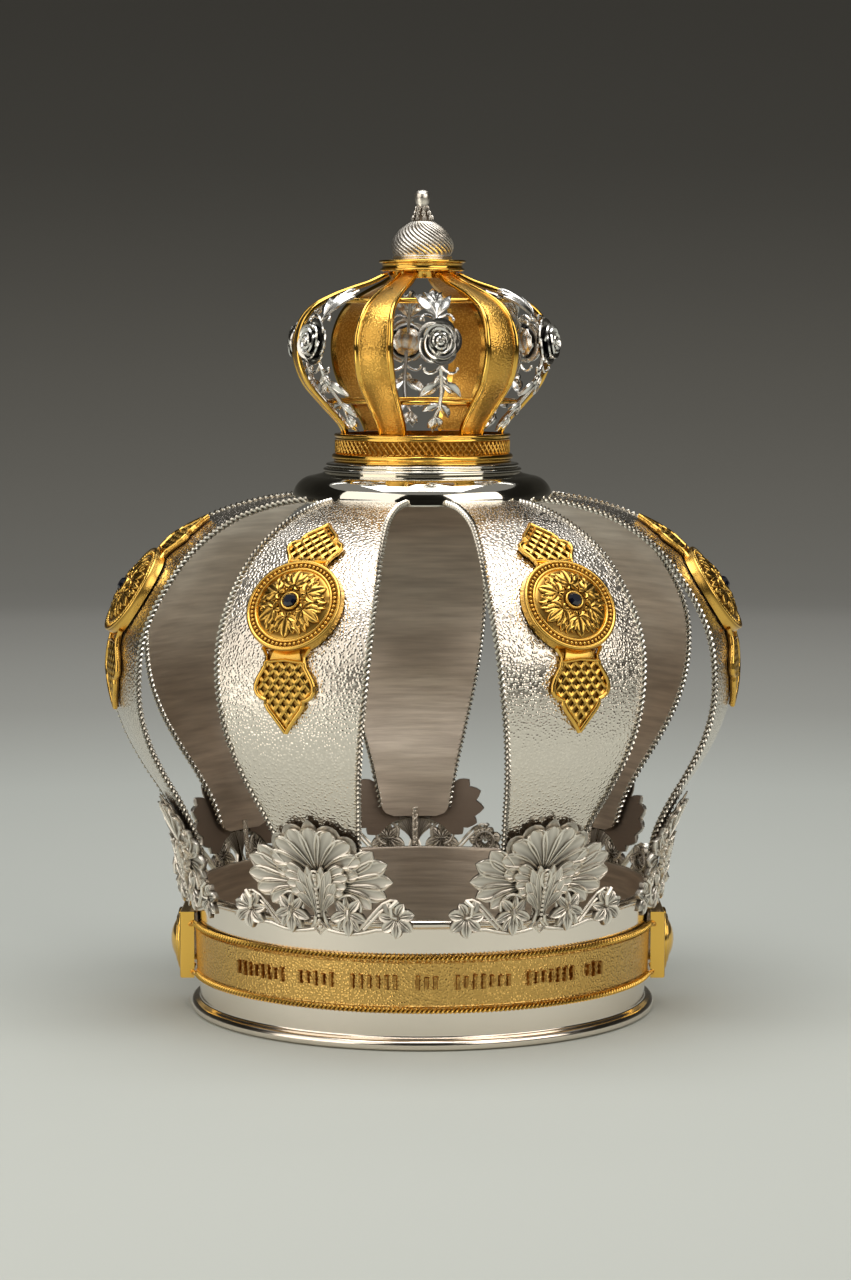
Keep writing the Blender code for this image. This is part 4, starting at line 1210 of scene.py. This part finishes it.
def make_plate(outline, direction):
    """One plate bent onto the strap: above the disc where the direction is 1, and below where -1."""
    bm = drawing()
    add_lattice(bm, outline)
    add_plate_rim(bm, outline)
    # Painted shade: the bars' sides and the sheet under the holes darken by their lift.
    patina_and_shade_by_lift(bm, PLATE_RAISE - 0.4, 0.6)
    if direction < 0:
        bmesh.ops.rotate(bm, verts=bm.verts, cent=(0, 0, 0), matrix=Matrix.Rotation(math.pi, 3, "Z"))
    bmesh.ops.translate(bm, verts=bm.verts, vec=(0.0, MEDALLION_ALONG, 0.0))
    close_up(bm)
    return bend(finished("plate", bm), stave_surface)


# %% [markdown]
# The disc's painted shade in its recesses is measured from the ground that its relief stands on, not
# from the strap.  The stone is small and dark, with a flat table and eight facets round it.
# %% Put the medallions on


def make_medallion():
    bm = make_disc()
    add_foliage(bm)
    # Painted shade: a point darkens the closer it lies to the ground under the relief.
    patina_and_shade_layer = bm.verts.layers.float["patina_and_shade"]
    for point in bm.verts:
        radius = math.hypot(point.co.x, point.co.y)
        if radius > BEZEL and point.co.z > 2.0:
            above = point.co.z - (dome(radius) if radius < DOME else BEAD_GROUND)
            point[patina_and_shade_layer] = max(point[patina_and_shade_layer], min((0.5 - above) / 0.6, 1.0))
    close_up(bm)
    back = [point.index for point in bm.verts if point.co.z < 0.2]
    disc = finished("disc", bm)
    outline = np.array([disc.vertices[index].co for index in back])
    bend(disc, disc_plane)
    above_strap = np.full(len(outline), 0.9)
    seat = np.stack(stave_surface(outline[:, 0], outline[:, 1] + MEDALLION_ALONG, above_strap), axis=1)
    for index, place in zip(back, seat):
        disc.vertices[index].co = place * MM
    return joined("gold_medallion", disc, make_plate(LOWER_PLATE, -1), make_plate(UPPER_PLATE, 1))


def make_stone():
    bm = bmesh.new()
    turn(bm, [(0.0, 7.8), (3.25, 7.8), (3.3, 8.3), (2.1, 9.5), (0.0, 9.5)], 8, closed=False)
    return bend(finished("faceted_stone", bm, 10), disc_plane)


show_ring("gold_medallion", make_medallion(), [chased_gold], "medallion", STAVES, STAVE_FIRST)
show_ring("faceted_stone", make_stone(), [stone_finish], "stone", STAVES, STAVE_FIRST)

# %% [markdown]
# ## The collar and the small band
#
# The straps close under a polished collar.  Its dome curls under at the edge, so it mirrors the
# room from floor to ceiling.  Two fine mouldings carry the gilded band of the small crown, whose
# middle is engraved with slanting cuts.
# %% Turned collar
collar = bmesh.new()
turn(collar, [
    (0.0, 257.4), (44.6, 257.4), *arc((45.4, 256.6), 0.9, 100, -60, 6), (45.4, 255.3),
    *arc((46.6, 254.3), 1.0, 110, -70, 6), (48.0, 252.7), (52.4, 251.6),
    *arc((51.6, 241.0), 10.6, 78, 8, 16), *arc((61.4, 240.2), 0.9, 30, -140, 6),
    (58.8, 243.4), (55.4, 246.6), (51.0, 248.9), (44.0, 251.4), (43.6, 255.7), (0.0, 255.7),
], 200, closed=False)
collar_mesh = scaled(finished("turned_collar", collar, 50))
show("turned_collar", collar_mesh, [mirror_silver], "collar")
print("collar:", len(collar_mesh.polygons), "faces")

# %% [markdown]
# The band is turned first.  The cuts are laid on afterwards as fine raised wires in two directions,
# the second set fainter, which is how a graver's burr reads at this size.
# %% Gilded band with slanting cuts
CUT_RADIUS = 41.3
CUTS = 84
# The engraved zone, between these heights, and how far a cut slants across it.
CUT_LOW = 262.6
CUT_TALL = 5.6
CUT_SLANT = 4.4
small_band = drawing()
turn(small_band, [
    (38.8, 271.6), (40.2, 271.6), *arc((41.4, 270.7), 0.9, 100, -70, 5), (41.6, 269.6),
    *arc((41.4, 269.0), 0.5, 60, -90, 3), (41.15, 268.5), (41.1, 268.3),
    (41.1, 262.5), (41.15, 262.3), (41.5, 262.0),
    *arc((41.9, 260.6), 1.5, 75, -75, 8), (42.2, 258.6), (42.6, 258.2), (42.6, 257.8), (38.8, 257.8),
], 160)
# The engraved zone is painted fully dark, as the shade among its cuts.
for face in small_band.faces:
    middle = face.calc_center_median()
    if CUT_LOW - 0.2 < middle.z < CUT_LOW + CUT_TALL + 0.2 and math.hypot(middle.x, middle.y) > 40.0:
        face.material_index = 1
        set_patina_and_shade(small_band, face.verts)
small_band_mesh = scaled(finished("hatched_band", small_band, 50))

hatching = drawing()
for slant, raised, size in ((-1, 0.14, 0.46), (1, -0.12, 0.22)):
    cut = [(slant * (share - 0.5) * CUT_SLANT, CUT_LOW + CUT_TALL * share, raised)
           for share in (0.0, 0.5, 1.0)]
    shape = faces_of(wire(hatching, cut, size, 4))
    for number in range(1, CUTS):
        copied = only_points(bmesh.ops.duplicate(hatching, geom=shape)["geom"])
        bmesh.ops.translate(hatching, verts=copied, vec=(number * math.tau * CUT_RADIUS / CUTS, 0.0, 0.0))
for face in hatching.faces:
    face.material_index = 1
hatch_mesh = bend(finished("cuts", hatching), upright(lambda height: CUT_RADIUS, CUT_RADIUS))
small_band_mesh = joined("hatched_band", small_band_mesh, hatch_mesh)
show("hatched_band", small_band_mesh, [polished_gold, satin_gold], "small_band")
print("small band:", len(small_band_mesh.polygons), "faces")

# %% [markdown]
# ## The small crown
#
# Six gilded ribs rise from the band, swell outward and gather under a round plate.  Each has a
# matted face between two rolled borders.  A silver garland climbs in front of every gap.
# %% Ribs with rolled borders
RIBS = 6
RIB_FIRST = -22.0
GARLAND_FIRST = 8.0
RIB_SHEET = 1.2
RIB_CURVE = meridian((
    (37.9, 271.9), (40.2, 276.6), (48.9, 286.2), (57.3, 296.7), (61.3, 310.0), (59.4, 322.4),
    (53.4, 331.2), (43.2, 337.0), (33.6, 340.7), (25.0, 343.6), (17.6, 347.2),
))
RIB_LENGTH = RIB_CURVE[0][-1]
rib_surface = bowed(RIB_CURVE)
rib_half = width_rule(RIB_CURVE, (271, 284, 300, 318, 334, 344, 349), (6.8, 8.2, 9.8, 9.9, 7.6, 5.2, 4.4))
# From the left edge to the middle: the share of the half width, and the lift there.
RIB_SECTION = ((-1.0, -0.2), (-0.97, 0.35), (-0.92, 0.75), (-0.86, 0.9), (-0.8, 0.78), (-0.76, 0.4),
               (-0.74, 0.0), (-0.7, -0.1), (-0.64, 0.12), (-0.3, 0.3), (0.0, 0.36))
MATTED_SHARE = 0.72


def make_rib():
    """A strip whose section is a flat face, a groove at each side, and a rolled border."""
    section = [*RIB_SECTION, *[(-share, lift) for share, lift in RIB_SECTION[-2::-1]]]
    shares, lifts = zip(*section)
    bm = drawing()
    columns = len(shares) - 1
    strip = bmesh.ops.create_grid(bm, x_segments=columns, y_segments=44, size=0.5)["verts"]
    for point in strip:
        column = round((point.co.x + 0.5) * columns)
        along = (point.co.y + 0.5) * RIB_LENGTH
        point.co = Vector((shares[column] * rib_half(along), along, lifts[column]))
    for face in bm.faces:
        middle = face.calc_center_median()
        face.material_index = 1 if abs(middle.x) < MATTED_SHARE * rib_half(middle.y) else 0
    back = thicken(bm, bm.faces[:])
    for point in back:
        point.co.z = -RIB_SHEET
    # The back is painted half dark, as the shade inside the ribs.
    set_patina_and_shade(bm, back, 0.5)
    close_up(bm)
    return bend(finished("gold_rib", bm, 50), rib_surface)


show_ring("gold_rib", make_rib(), [polished_gold, satin_gold], "small_rib", RIBS, RIB_FIRST)

# %% [markdown]
# Two round hoops tie the ribs together from inside.
# %% Hoops behind the ribs
HOOP_INSIDE_RIB = 3.8
for name, height in (("lower", 287.0), ("upper", 334.6)):
    behind = rib_surface(0.0, length_at(RIB_CURVE, height), -(RIB_SHEET + 0.06))
    reach = math.hypot(float(behind[0]), float(behind[1])) - HOOP_INSIDE_RIB
    hoop = bmesh.new()
    turn(hoop, arc((reach, height), 1.0, 0, 330, 11), 120)
    hoop_mesh = scaled(finished(f"gold_hoop_{name}", hoop, 80))
    show(f"gold_hoop_{name}", hoop_mesh, [polished_gold], f"small_hoop_{name}")
    print("hoop:", name, round(reach, 1), "mm radius")

# %% [markdown]
# ## The rose garlands
#
# A garland is one long stem that wavers from side to side.  Going up, it carries a hanging bud, a
# pair of drooping leaves, two curled tendrils, the open rose at the crown's widest place, two more
# tendrils, and a rising pair of leaves with a bud between them.  Places are given by their height on
# the crown, and `on_stem` turns a height into the length along the ribs' curve.
# %% Stem, leaves and tendrils
GARLAND_LOW = length_at(RIB_CURVE, 273.0)
GARLAND_HIGH = length_at(RIB_CURVE, 339.0)
HEART = length_at(RIB_CURVE, 315.0)


def sway(along):
    """How far the garland's stem strays to the side at a length along it."""
    return 1.4 * math.sin(math.tau * along / 80.0)


def on_stem(height):
    """The stem's place in the flat drawing, at a height on the crown."""
    along = length_at(RIB_CURVE, height)
    return Vector((sway(along), along))


def heading(away):
    """The direction that is so many degrees from straight up, to the right."""
    turned = math.radians(away)
    return Vector((math.sin(turned), math.cos(turned)))


def garland_leaf(bm, root, away, length, width, lift=(0.3, 1.3, 0.9), droop=0.14):
    """A folded leaf; away is its angle from straight up, in degrees, and droop how much it bows."""
    ahead = heading(away)
    aside = Vector((ahead.y, -ahead.x)) * (1.0 if away > 0 else -1.0)
    middle = root + ahead * length * 0.5 - aside * (droop * length)
    blade(bm, root, middle, root + ahead * length, width, LEAF, lift, 1.0, FOLD, 1.0, 7)


def tendril(bm, root, turns, length):
    """A thin wire that curls and lifts as it goes, through a list of headings in degrees."""
    lift = 0.6
    place = Vector(root)
    path = [(*place, lift)]
    for away in turns:
        place = place + heading(away) * length
        length *= 0.84
        path.append((*place, lift + 0.25 * len(path)))
    wire(bm, path, np.linspace(0.75, 0.5, len(path)), 6)
    bead(bm, path[-1], 0.9, 1.0, 4)


def add_stem_and_leaves(bm):
    steps = 24
    start = on_stem(284.0).y
    stem = [start + (GARLAND_HIGH - start) * step / steps for step in range(steps + 1)]
    wire(bm, [(sway(along), along, 0.0) for along in stem], np.linspace(1.05, 0.7, steps + 1), 8)
    for side in (-1, 1):
        garland_leaf(bm, on_stem(327.0), side * 31.0, 17.0, 7.6)
        garland_leaf(bm, on_stem(331.6), side * 20.0, 13.0, 4.4)
        tendril(bm, on_stem(324.6), [side * angle for angle in (48, 66, 96, 132, 172)], 2.7)
        tendril(bm, on_stem(304.4), [side * angle for angle in (138, 118, 92, 60, 18)], 2.7)
        garland_leaf(bm, on_stem(296.4), side * 128.0, 12.4, 5.8)
        garland_leaf(bm, on_stem(300.0), side * 148.0, 6.0, 2.6)
    garland_leaf(bm, on_stem(333.6), 0.1, 13.0, 4.8, (0.8, 1.8, 1.0), 0.0)
    garland_leaf(bm, on_stem(286.4), 150.0, 9.6, 4.4)
    garland_leaf(bm, on_stem(286.0), -112.0, 8.6, 4.0)
    foot = on_stem(284.4)
    fork = [(*foot, 0.0), (foot.x - 1.2, foot.y - 2.6, 0.4), (foot.x - 1.8, foot.y - 5.2, 0.8)]
    wire(bm, fork, (1.0, 0.8, 0.7), 8)
    bud = Vector((foot.x - 1.9, foot.y - 5.0))
    for turned in (-22.0, 22.0):
        garland_leaf(bm, bud, 180.0 + turned, 7.2, 4.6, (0.6, 2.4, 1.0), 0.2)
    garland_leaf(bm, bud, 180.0, bud.y - GARLAND_LOW, 3.4, (1.0, 3.0, 0.2), 0.0)


# %% [markdown]
# The rose is a nest of curved walls.  Each petal is a grid wrapped part of the way round the heart,
# low inside and high at its rim, and its rim winds slowly outward so that it laps over the next.
# Inner petals stand up; outer ones lie back.  The walls are painted black at the foot and bright at
# the rim, as patina and painted shade.
# %% Open rose


def petal(bm, radius, start, span, foot, rim, flare):
    """A wall round the heart, from an angle and over a span in degrees."""
    made = bmesh.ops.create_grid(bm, x_segments=12, y_segments=4, size=1.0)["verts"]
    patina_and_shade_layer = bm.verts.layers.float["patina_and_shade"]
    for point in made:
        round_share = (point.co.x + 1.0) / 2.0
        up = (point.co.y + 1.0) / 2.0
        angle = math.radians(start + span * round_share)
        ends = math.sin(math.pi * min(max(round_share, 0.0), 1.0)) ** 0.5
        wound = radius * (0.9 + 0.2 * round_share)
        out = wound - 1.3 + 1.1 * up + flare * up**2 * ends
        height = foot + (rim - foot) * (1.0 - (1.0 - up) ** 1.6) * (0.5 + 0.5 * ends)
        point.co = Vector((out * math.cos(angle), out * math.sin(angle), height))
        # Patina and painted shade: black at the foot of the wall, bright at its rim.
        point[patina_and_shade_layer] = max(1.3 - 1.35 * up, 0.0)
    faces = faces_of(made)
    bmesh.ops.recalc_face_normals(bm, faces=faces)
    bmesh.ops.solidify(bm, geom=faces, thickness=0.8)


# Each ring of petals: how many, the first one's angle, radius, span, foot, rim and flare.
PETAL_RINGS = (
    (5, 20.0, 7.6, 96.0, -1.0, 2.4, 2.3),
    (4, 60.0, 6.2, 118.0, 0.0, 4.0, 1.3),
    (3, 5.0, 4.7, 150.0, 0.4, 5.0, 0.7),
    (3, 70.0, 3.2, 150.0, 0.8, 5.6, 0.3),
    (2, 20.0, 1.9, 220.0, 1.0, 6.0, 0.0),
)


def add_rose(bm):
    """Petals round a bead, in a shallow cup painted black inside, as patina and painted shade."""
    for count, first, radius, span, foot, rim, flare in PETAL_RINGS:
        for number in range(count):
            petal(bm, radius, first + 360.0 * number / count, span, foot, rim, flare)
    bead(bm, (0.0, 0.0, 3.6), 1.1, 1.4)
    for point in bead(bm, (0.0, 0.0, -1.0), 7.4, 0.36, 7):
        # The cup is painted black inside as patina and painted shade.
        set_patina_and_shade(bm, [point], 1.0 if point.co.z > -1.0 else 0.1)


def make_garland():
    rose = drawing()
    add_rose(rose)
    bmesh.ops.translate(rose, verts=rose.verts, vec=(sway(HEART), HEART, 2.2))
    close_up(rose)
    bm = drawing()
    add_stem_and_leaves(bm)
    # Patina and painted shade on what lies low: the stem and the leaves' backs.
    patina_and_shade_by_lift(bm, 0.4, -1.4)
    close_up(bm)
    take(bm, rose)
    return bend(finished("rose_garland", bm, 50), rib_surface)


show_ring("silver_garland", make_garland(), [oxidised_silver],
          "rose_garland", RIBS, GARLAND_FIRST)

# %% [markdown]
# ## Top plate and finial
#
# A gilded round plate closes the small crown, turned in one with the short neck that the ribs' ends
# meet.
# %% Turned top plate
plate = bmesh.new()
turn(plate, [
    (0.0, 353.8), (19.4, 353.8), *arc((20.1, 353.1), 0.7, 90, -70, 6), (19.5, 352.2),
    *arc((21.0, 350.8), 1.9, 140, 215, 5), *arc((19.5, 349.2), 0.7, 70, -80, 5),
    (18.4, 348.4), (16.4, 348.2), (15.6, 346.4), (15.4, 345.2), (0.0, 345.2),
], 120, closed=False)
plate_mesh = scaled(finished("gold_top_plate", plate, 50))
show("gold_top_plate", plate_mesh, [polished_gold], "top_plate")
print("top plate:", len(plate_mesh.polygons), "faces")

# %% [markdown]
# A silver knob stands on the plate, and its flutes wind up it as far as the neck.  It starts as a
# plain turned knob with a drop on top, and each point is then drawn in towards the axis by a wave that
# turns with height.  The grooves and the neck are painted dark, as patina and painted shade.  Small
# pointed leaves stand round the neck in three rows.
# %% Fluted knob
FLUTES = 30
FLUTE_DEPTH = 1.1
# The flutes' turn for each millimetre up, from the height where they start.
FLUTE_TWIST = math.radians(6.0)
FLUTE_LOW = 356.6
KNOB = meridian((
    (13.6, 356.2), (14.7, 358.6), (14.8, 361.6), (13.9, 364.2), (11.2, 368.0), (7.9, 370.5),
    (5.0, 372.7), (3.6, 375.2), (2.6, 378.4),
))
# Each row of neck leaves: how many, at what radius and height, and how long.
NECK_LEAVES = ((9, 4.7, 371.6, 3.4), (8, 3.5, 374.0, 3.2), (7, 2.8, 376.4, 3.0))
NECK = (372.0, 379.0)


def flute(bm):
    """Cut the spiral flutes into the turned knob, fading out at its foot and at its neck."""
    patina_and_shade_layer = bm.verts.layers.float["patina_and_shade"]
    for point in bm.verts:
        depth = float(np.interp(point.co.z, (356.4, 357.2, 370.6, 372.4), (0.0, 1.0, 1.0, 0.0)))
        radius = math.hypot(point.co.x, point.co.y)
        if radius > 2.0:
            angle = math.atan2(point.co.y, point.co.x)
            phase = FLUTES / 2 * (angle + FLUTE_TWIST * (point.co.z - FLUTE_LOW))
            cut = depth * (1.0 - abs(math.sin(phase)))
            groove = cut * FLUTE_DEPTH * min(radius / 9.0, 1.0)
            point.co.x -= groove * math.cos(angle)
            point.co.y -= groove * math.sin(angle)
            # Patina and painted shade: the neck all dark, each groove darker the deeper it is cut.
            point[patina_and_shade_layer] = 1.0 if NECK[0] < point.co.z < NECK[1] else min(1.7 * cut, 1.0)


def add_neck_leaves(bm):
    for count, radius, height, size in NECK_LEAVES:
        for number in range(count):
            leaf = drawing()
            blade(leaf, (0.0, 0.0), (0.0, size * 0.5), (0.0, size), 2.6, LEAF, (0.0, 0.7, 0.9), 0.4,
                  VEINED, 0.7, 5)
            place = Matrix.Translation((0.0, -radius, height)) @ Matrix.Rotation(math.radians(76.0), 4, "X")
            # Adding the height turns each row a little against the one below.
            round_axis = Matrix.Rotation(math.tau * number / count + height, 4, "Z")
            bmesh.ops.transform(leaf, matrix=round_axis @ place, verts=leaf.verts)
            take(bm, leaf)


finial = drawing()
knob = [(float(np.interp(length, KNOB[0], KNOB[1])), float(np.interp(length, KNOB[0], KNOB[2])))
        for length in np.linspace(KNOB[0][-1], 0.0, 44)]
turn(finial, [
    # the drop, the knob, and two fine mouldings under it
    (0.0, 387.0), (1.9, 386.8), (3.0, 386.0), (3.6, 384.6), (3.6, 382.8), (3.2, 380.8), (2.3, 379.0),
    *knob, (13.4, 355.9), *arc((13.7, 355.4), 0.5, 60, -60, 4), (13.3, 354.9),
    *arc((13.6, 354.4), 0.5, 70, -60, 4), (13.4, 353.9), (0.0, 353.9),
], FLUTES * 8, closed=False)
flute(finial)
add_neck_leaves(finial)
close_up(finial)
finial_mesh = scaled(finished("fluted_finial", finial, 60))
show("fluted_finial", finial_mesh, [cast_silver], "finial")
print("finial:", len(finial_mesh.polygons), "faces")

# %% [markdown]
# ## Stage, light and camera
#
# Polished metal shows its surroundings more than itself, so the stage is part of the finish.  A pale
# floor sweeps up into a round wall without a corner, and its colour is painted darker with distance,
# as shade, which gives the silver something dark to reflect beside the bright panels.  The sweep is
# turned, so the crown looks the same from every side.
# %% Round sweep for a floor and backdrop
STAGE_RADIUS = 3.4
sweep = bmesh.new()
turn(sweep, [(0.0, 0.0), (1.0, 0.0), (2.0, 0.0), *arc((STAGE_RADIUS - 1.0, 1.0), 1.0, -90, 0, 12),
             (STAGE_RADIUS, 3.2)], 96, closed=False)
bmesh.ops.reverse_faces(sweep, faces=[face for face in sweep.faces if face.normal.z < 0.0])
floor = bpy.data.objects.new("floor_sweep", finished("floor_sweep", sweep, 80))
bpy.context.scene.collection.objects.link(floor)

backdrop = bpy.data.materials.new("matt_paper_sweep")
backdrop.use_nodes = True
paper = backdrop.node_tree
paper_shader = paper.nodes["Principled BSDF"]
paper_shader.inputs["Roughness"].default_value = 0.7
paper_shader.inputs["Specular IOR Level"].default_value = 0.25
away = add(paper, "VectorMath", {0: on_surface(paper)}, operation="LENGTH")
# The paper's colour at distances in metres from the middle of the floor, with the light's fall-off painted
# into it.  A ramp starts with two stops.
FALLOFF_TONES = ((0.4, "#C8CCC6"), (3.6, "#403E38"), (0.8, "#C8CCC6"), (1.3, "#B6B7B1"), (2.2, "#B0AFA9"),
         (2.85, "#8B8982"), (3.1, "#76746D"), (3.35, "#55534D"))
RAMP_REACH = 4.0
share = add(paper, "MapRange", {"Value": away.outputs["Value"], "From Min": 0.0, "From Max": RAMP_REACH})
shade = add(paper, "ValToRGB", {0: share.outputs["Result"]})
stops = shade.color_ramp.elements
for number, (distance, tone) in enumerate(FALLOFF_TONES):
    stop = stops[number] if number < 2 else stops.new(distance / RAMP_REACH)
    stop.position = distance / RAMP_REACH
    stop.color = srgb(tone)
paper.links.new(shade.outputs[0], paper_shader.inputs["Base Color"])
floor.data.materials.append(backdrop)
print("floor:", STAGE_RADIUS * 2, "m across")

# %% [markdown]
# Soft panels light it: a wide one overhead, one at each side in front, and a low one that reaches
# under the palmettes.  A dark strip is left between the two in front, and that strip is what makes
# the collar read as a mirror.  The last panel lights the sweep behind the crown.
# %% Soft panels and dim surroundings


def panel(name, place, target, size, power, tint="#FFFFFF"):
    light = bpy.data.lights.new(name, "AREA")
    light.shape = "RECTANGLE"
    light.size, light.size_y = size
    light.energy = power
    light.color = srgb(tint)[:3]
    lamp = bpy.data.objects.new(name, light)
    lamp.location = place
    lamp.rotation_euler = (Vector(target) - Vector(place)).to_track_quat("-Z", "Y").to_euler()
    bpy.context.scene.collection.objects.link(lamp)


panel("overhead_panel", (0.0, -0.2, 1.6), (0.0, 0.0, 0.2), (1.5, 1.1), 17.5)
panel("left_panel", (-1.15, -0.95, 1.02), (0.0, 0.0, 0.3), (1.7, 1.1), 7.4, "#FFF8EE")
panel("right_panel", (1.15, -0.95, 0.98), (0.0, 0.0, 0.3), (1.5, 1.0), 9.6, "#FFF8EE")
panel("low_left_panel", (-0.62, -0.5, 0.14), (0.0, 0.0, 0.06), (0.6, 0.26), 0.8, "#FFF8EE")
panel("backdrop_panel", (0.0, 1.3, 1.9), (0.0, 2.9, 0.1), (2.4, 0.5), 14.0)
surroundings = bpy.data.worlds.new("dim_room")
surroundings.use_nodes = True
surroundings.node_tree.nodes["Background"].inputs["Color"].default_value = srgb("#FFFDF8")
surroundings.node_tree.nodes["Background"].inputs["Strength"].default_value = 0.22
bpy.context.scene.world = surroundings
bpy.context.scene.view_settings.view_transform = "Standard"

# %% [markdown]
# The camera stands 1.6 m away, a little higher than the crown's waist, and looks slightly down, so
# the drum's rings open into narrow ovals.
# %% Camera
CAMERA_AWAY = 1.6
CAMERA_ASIDE = 0.0015
CAMERA_HEIGHT = 0.3257
CAMERA_DOWN = 5.306
lens = bpy.data.cameras.new("camera")
lens.sensor_fit = "VERTICAL"
lens.sensor_height = 36.0
lens.lens = 93.88
camera = bpy.data.objects.new("camera", lens)
camera.location = (CAMERA_ASIDE, -CAMERA_AWAY, CAMERA_HEIGHT)
camera.rotation_euler = (math.radians(90.0 - CAMERA_DOWN), 0.0, 0.0)
bpy.context.scene.collection.objects.link(camera)
bpy.context.scene.camera = camera
print("camera:", CAMERA_AWAY, "m away, looking down", CAMERA_DOWN, "degrees")
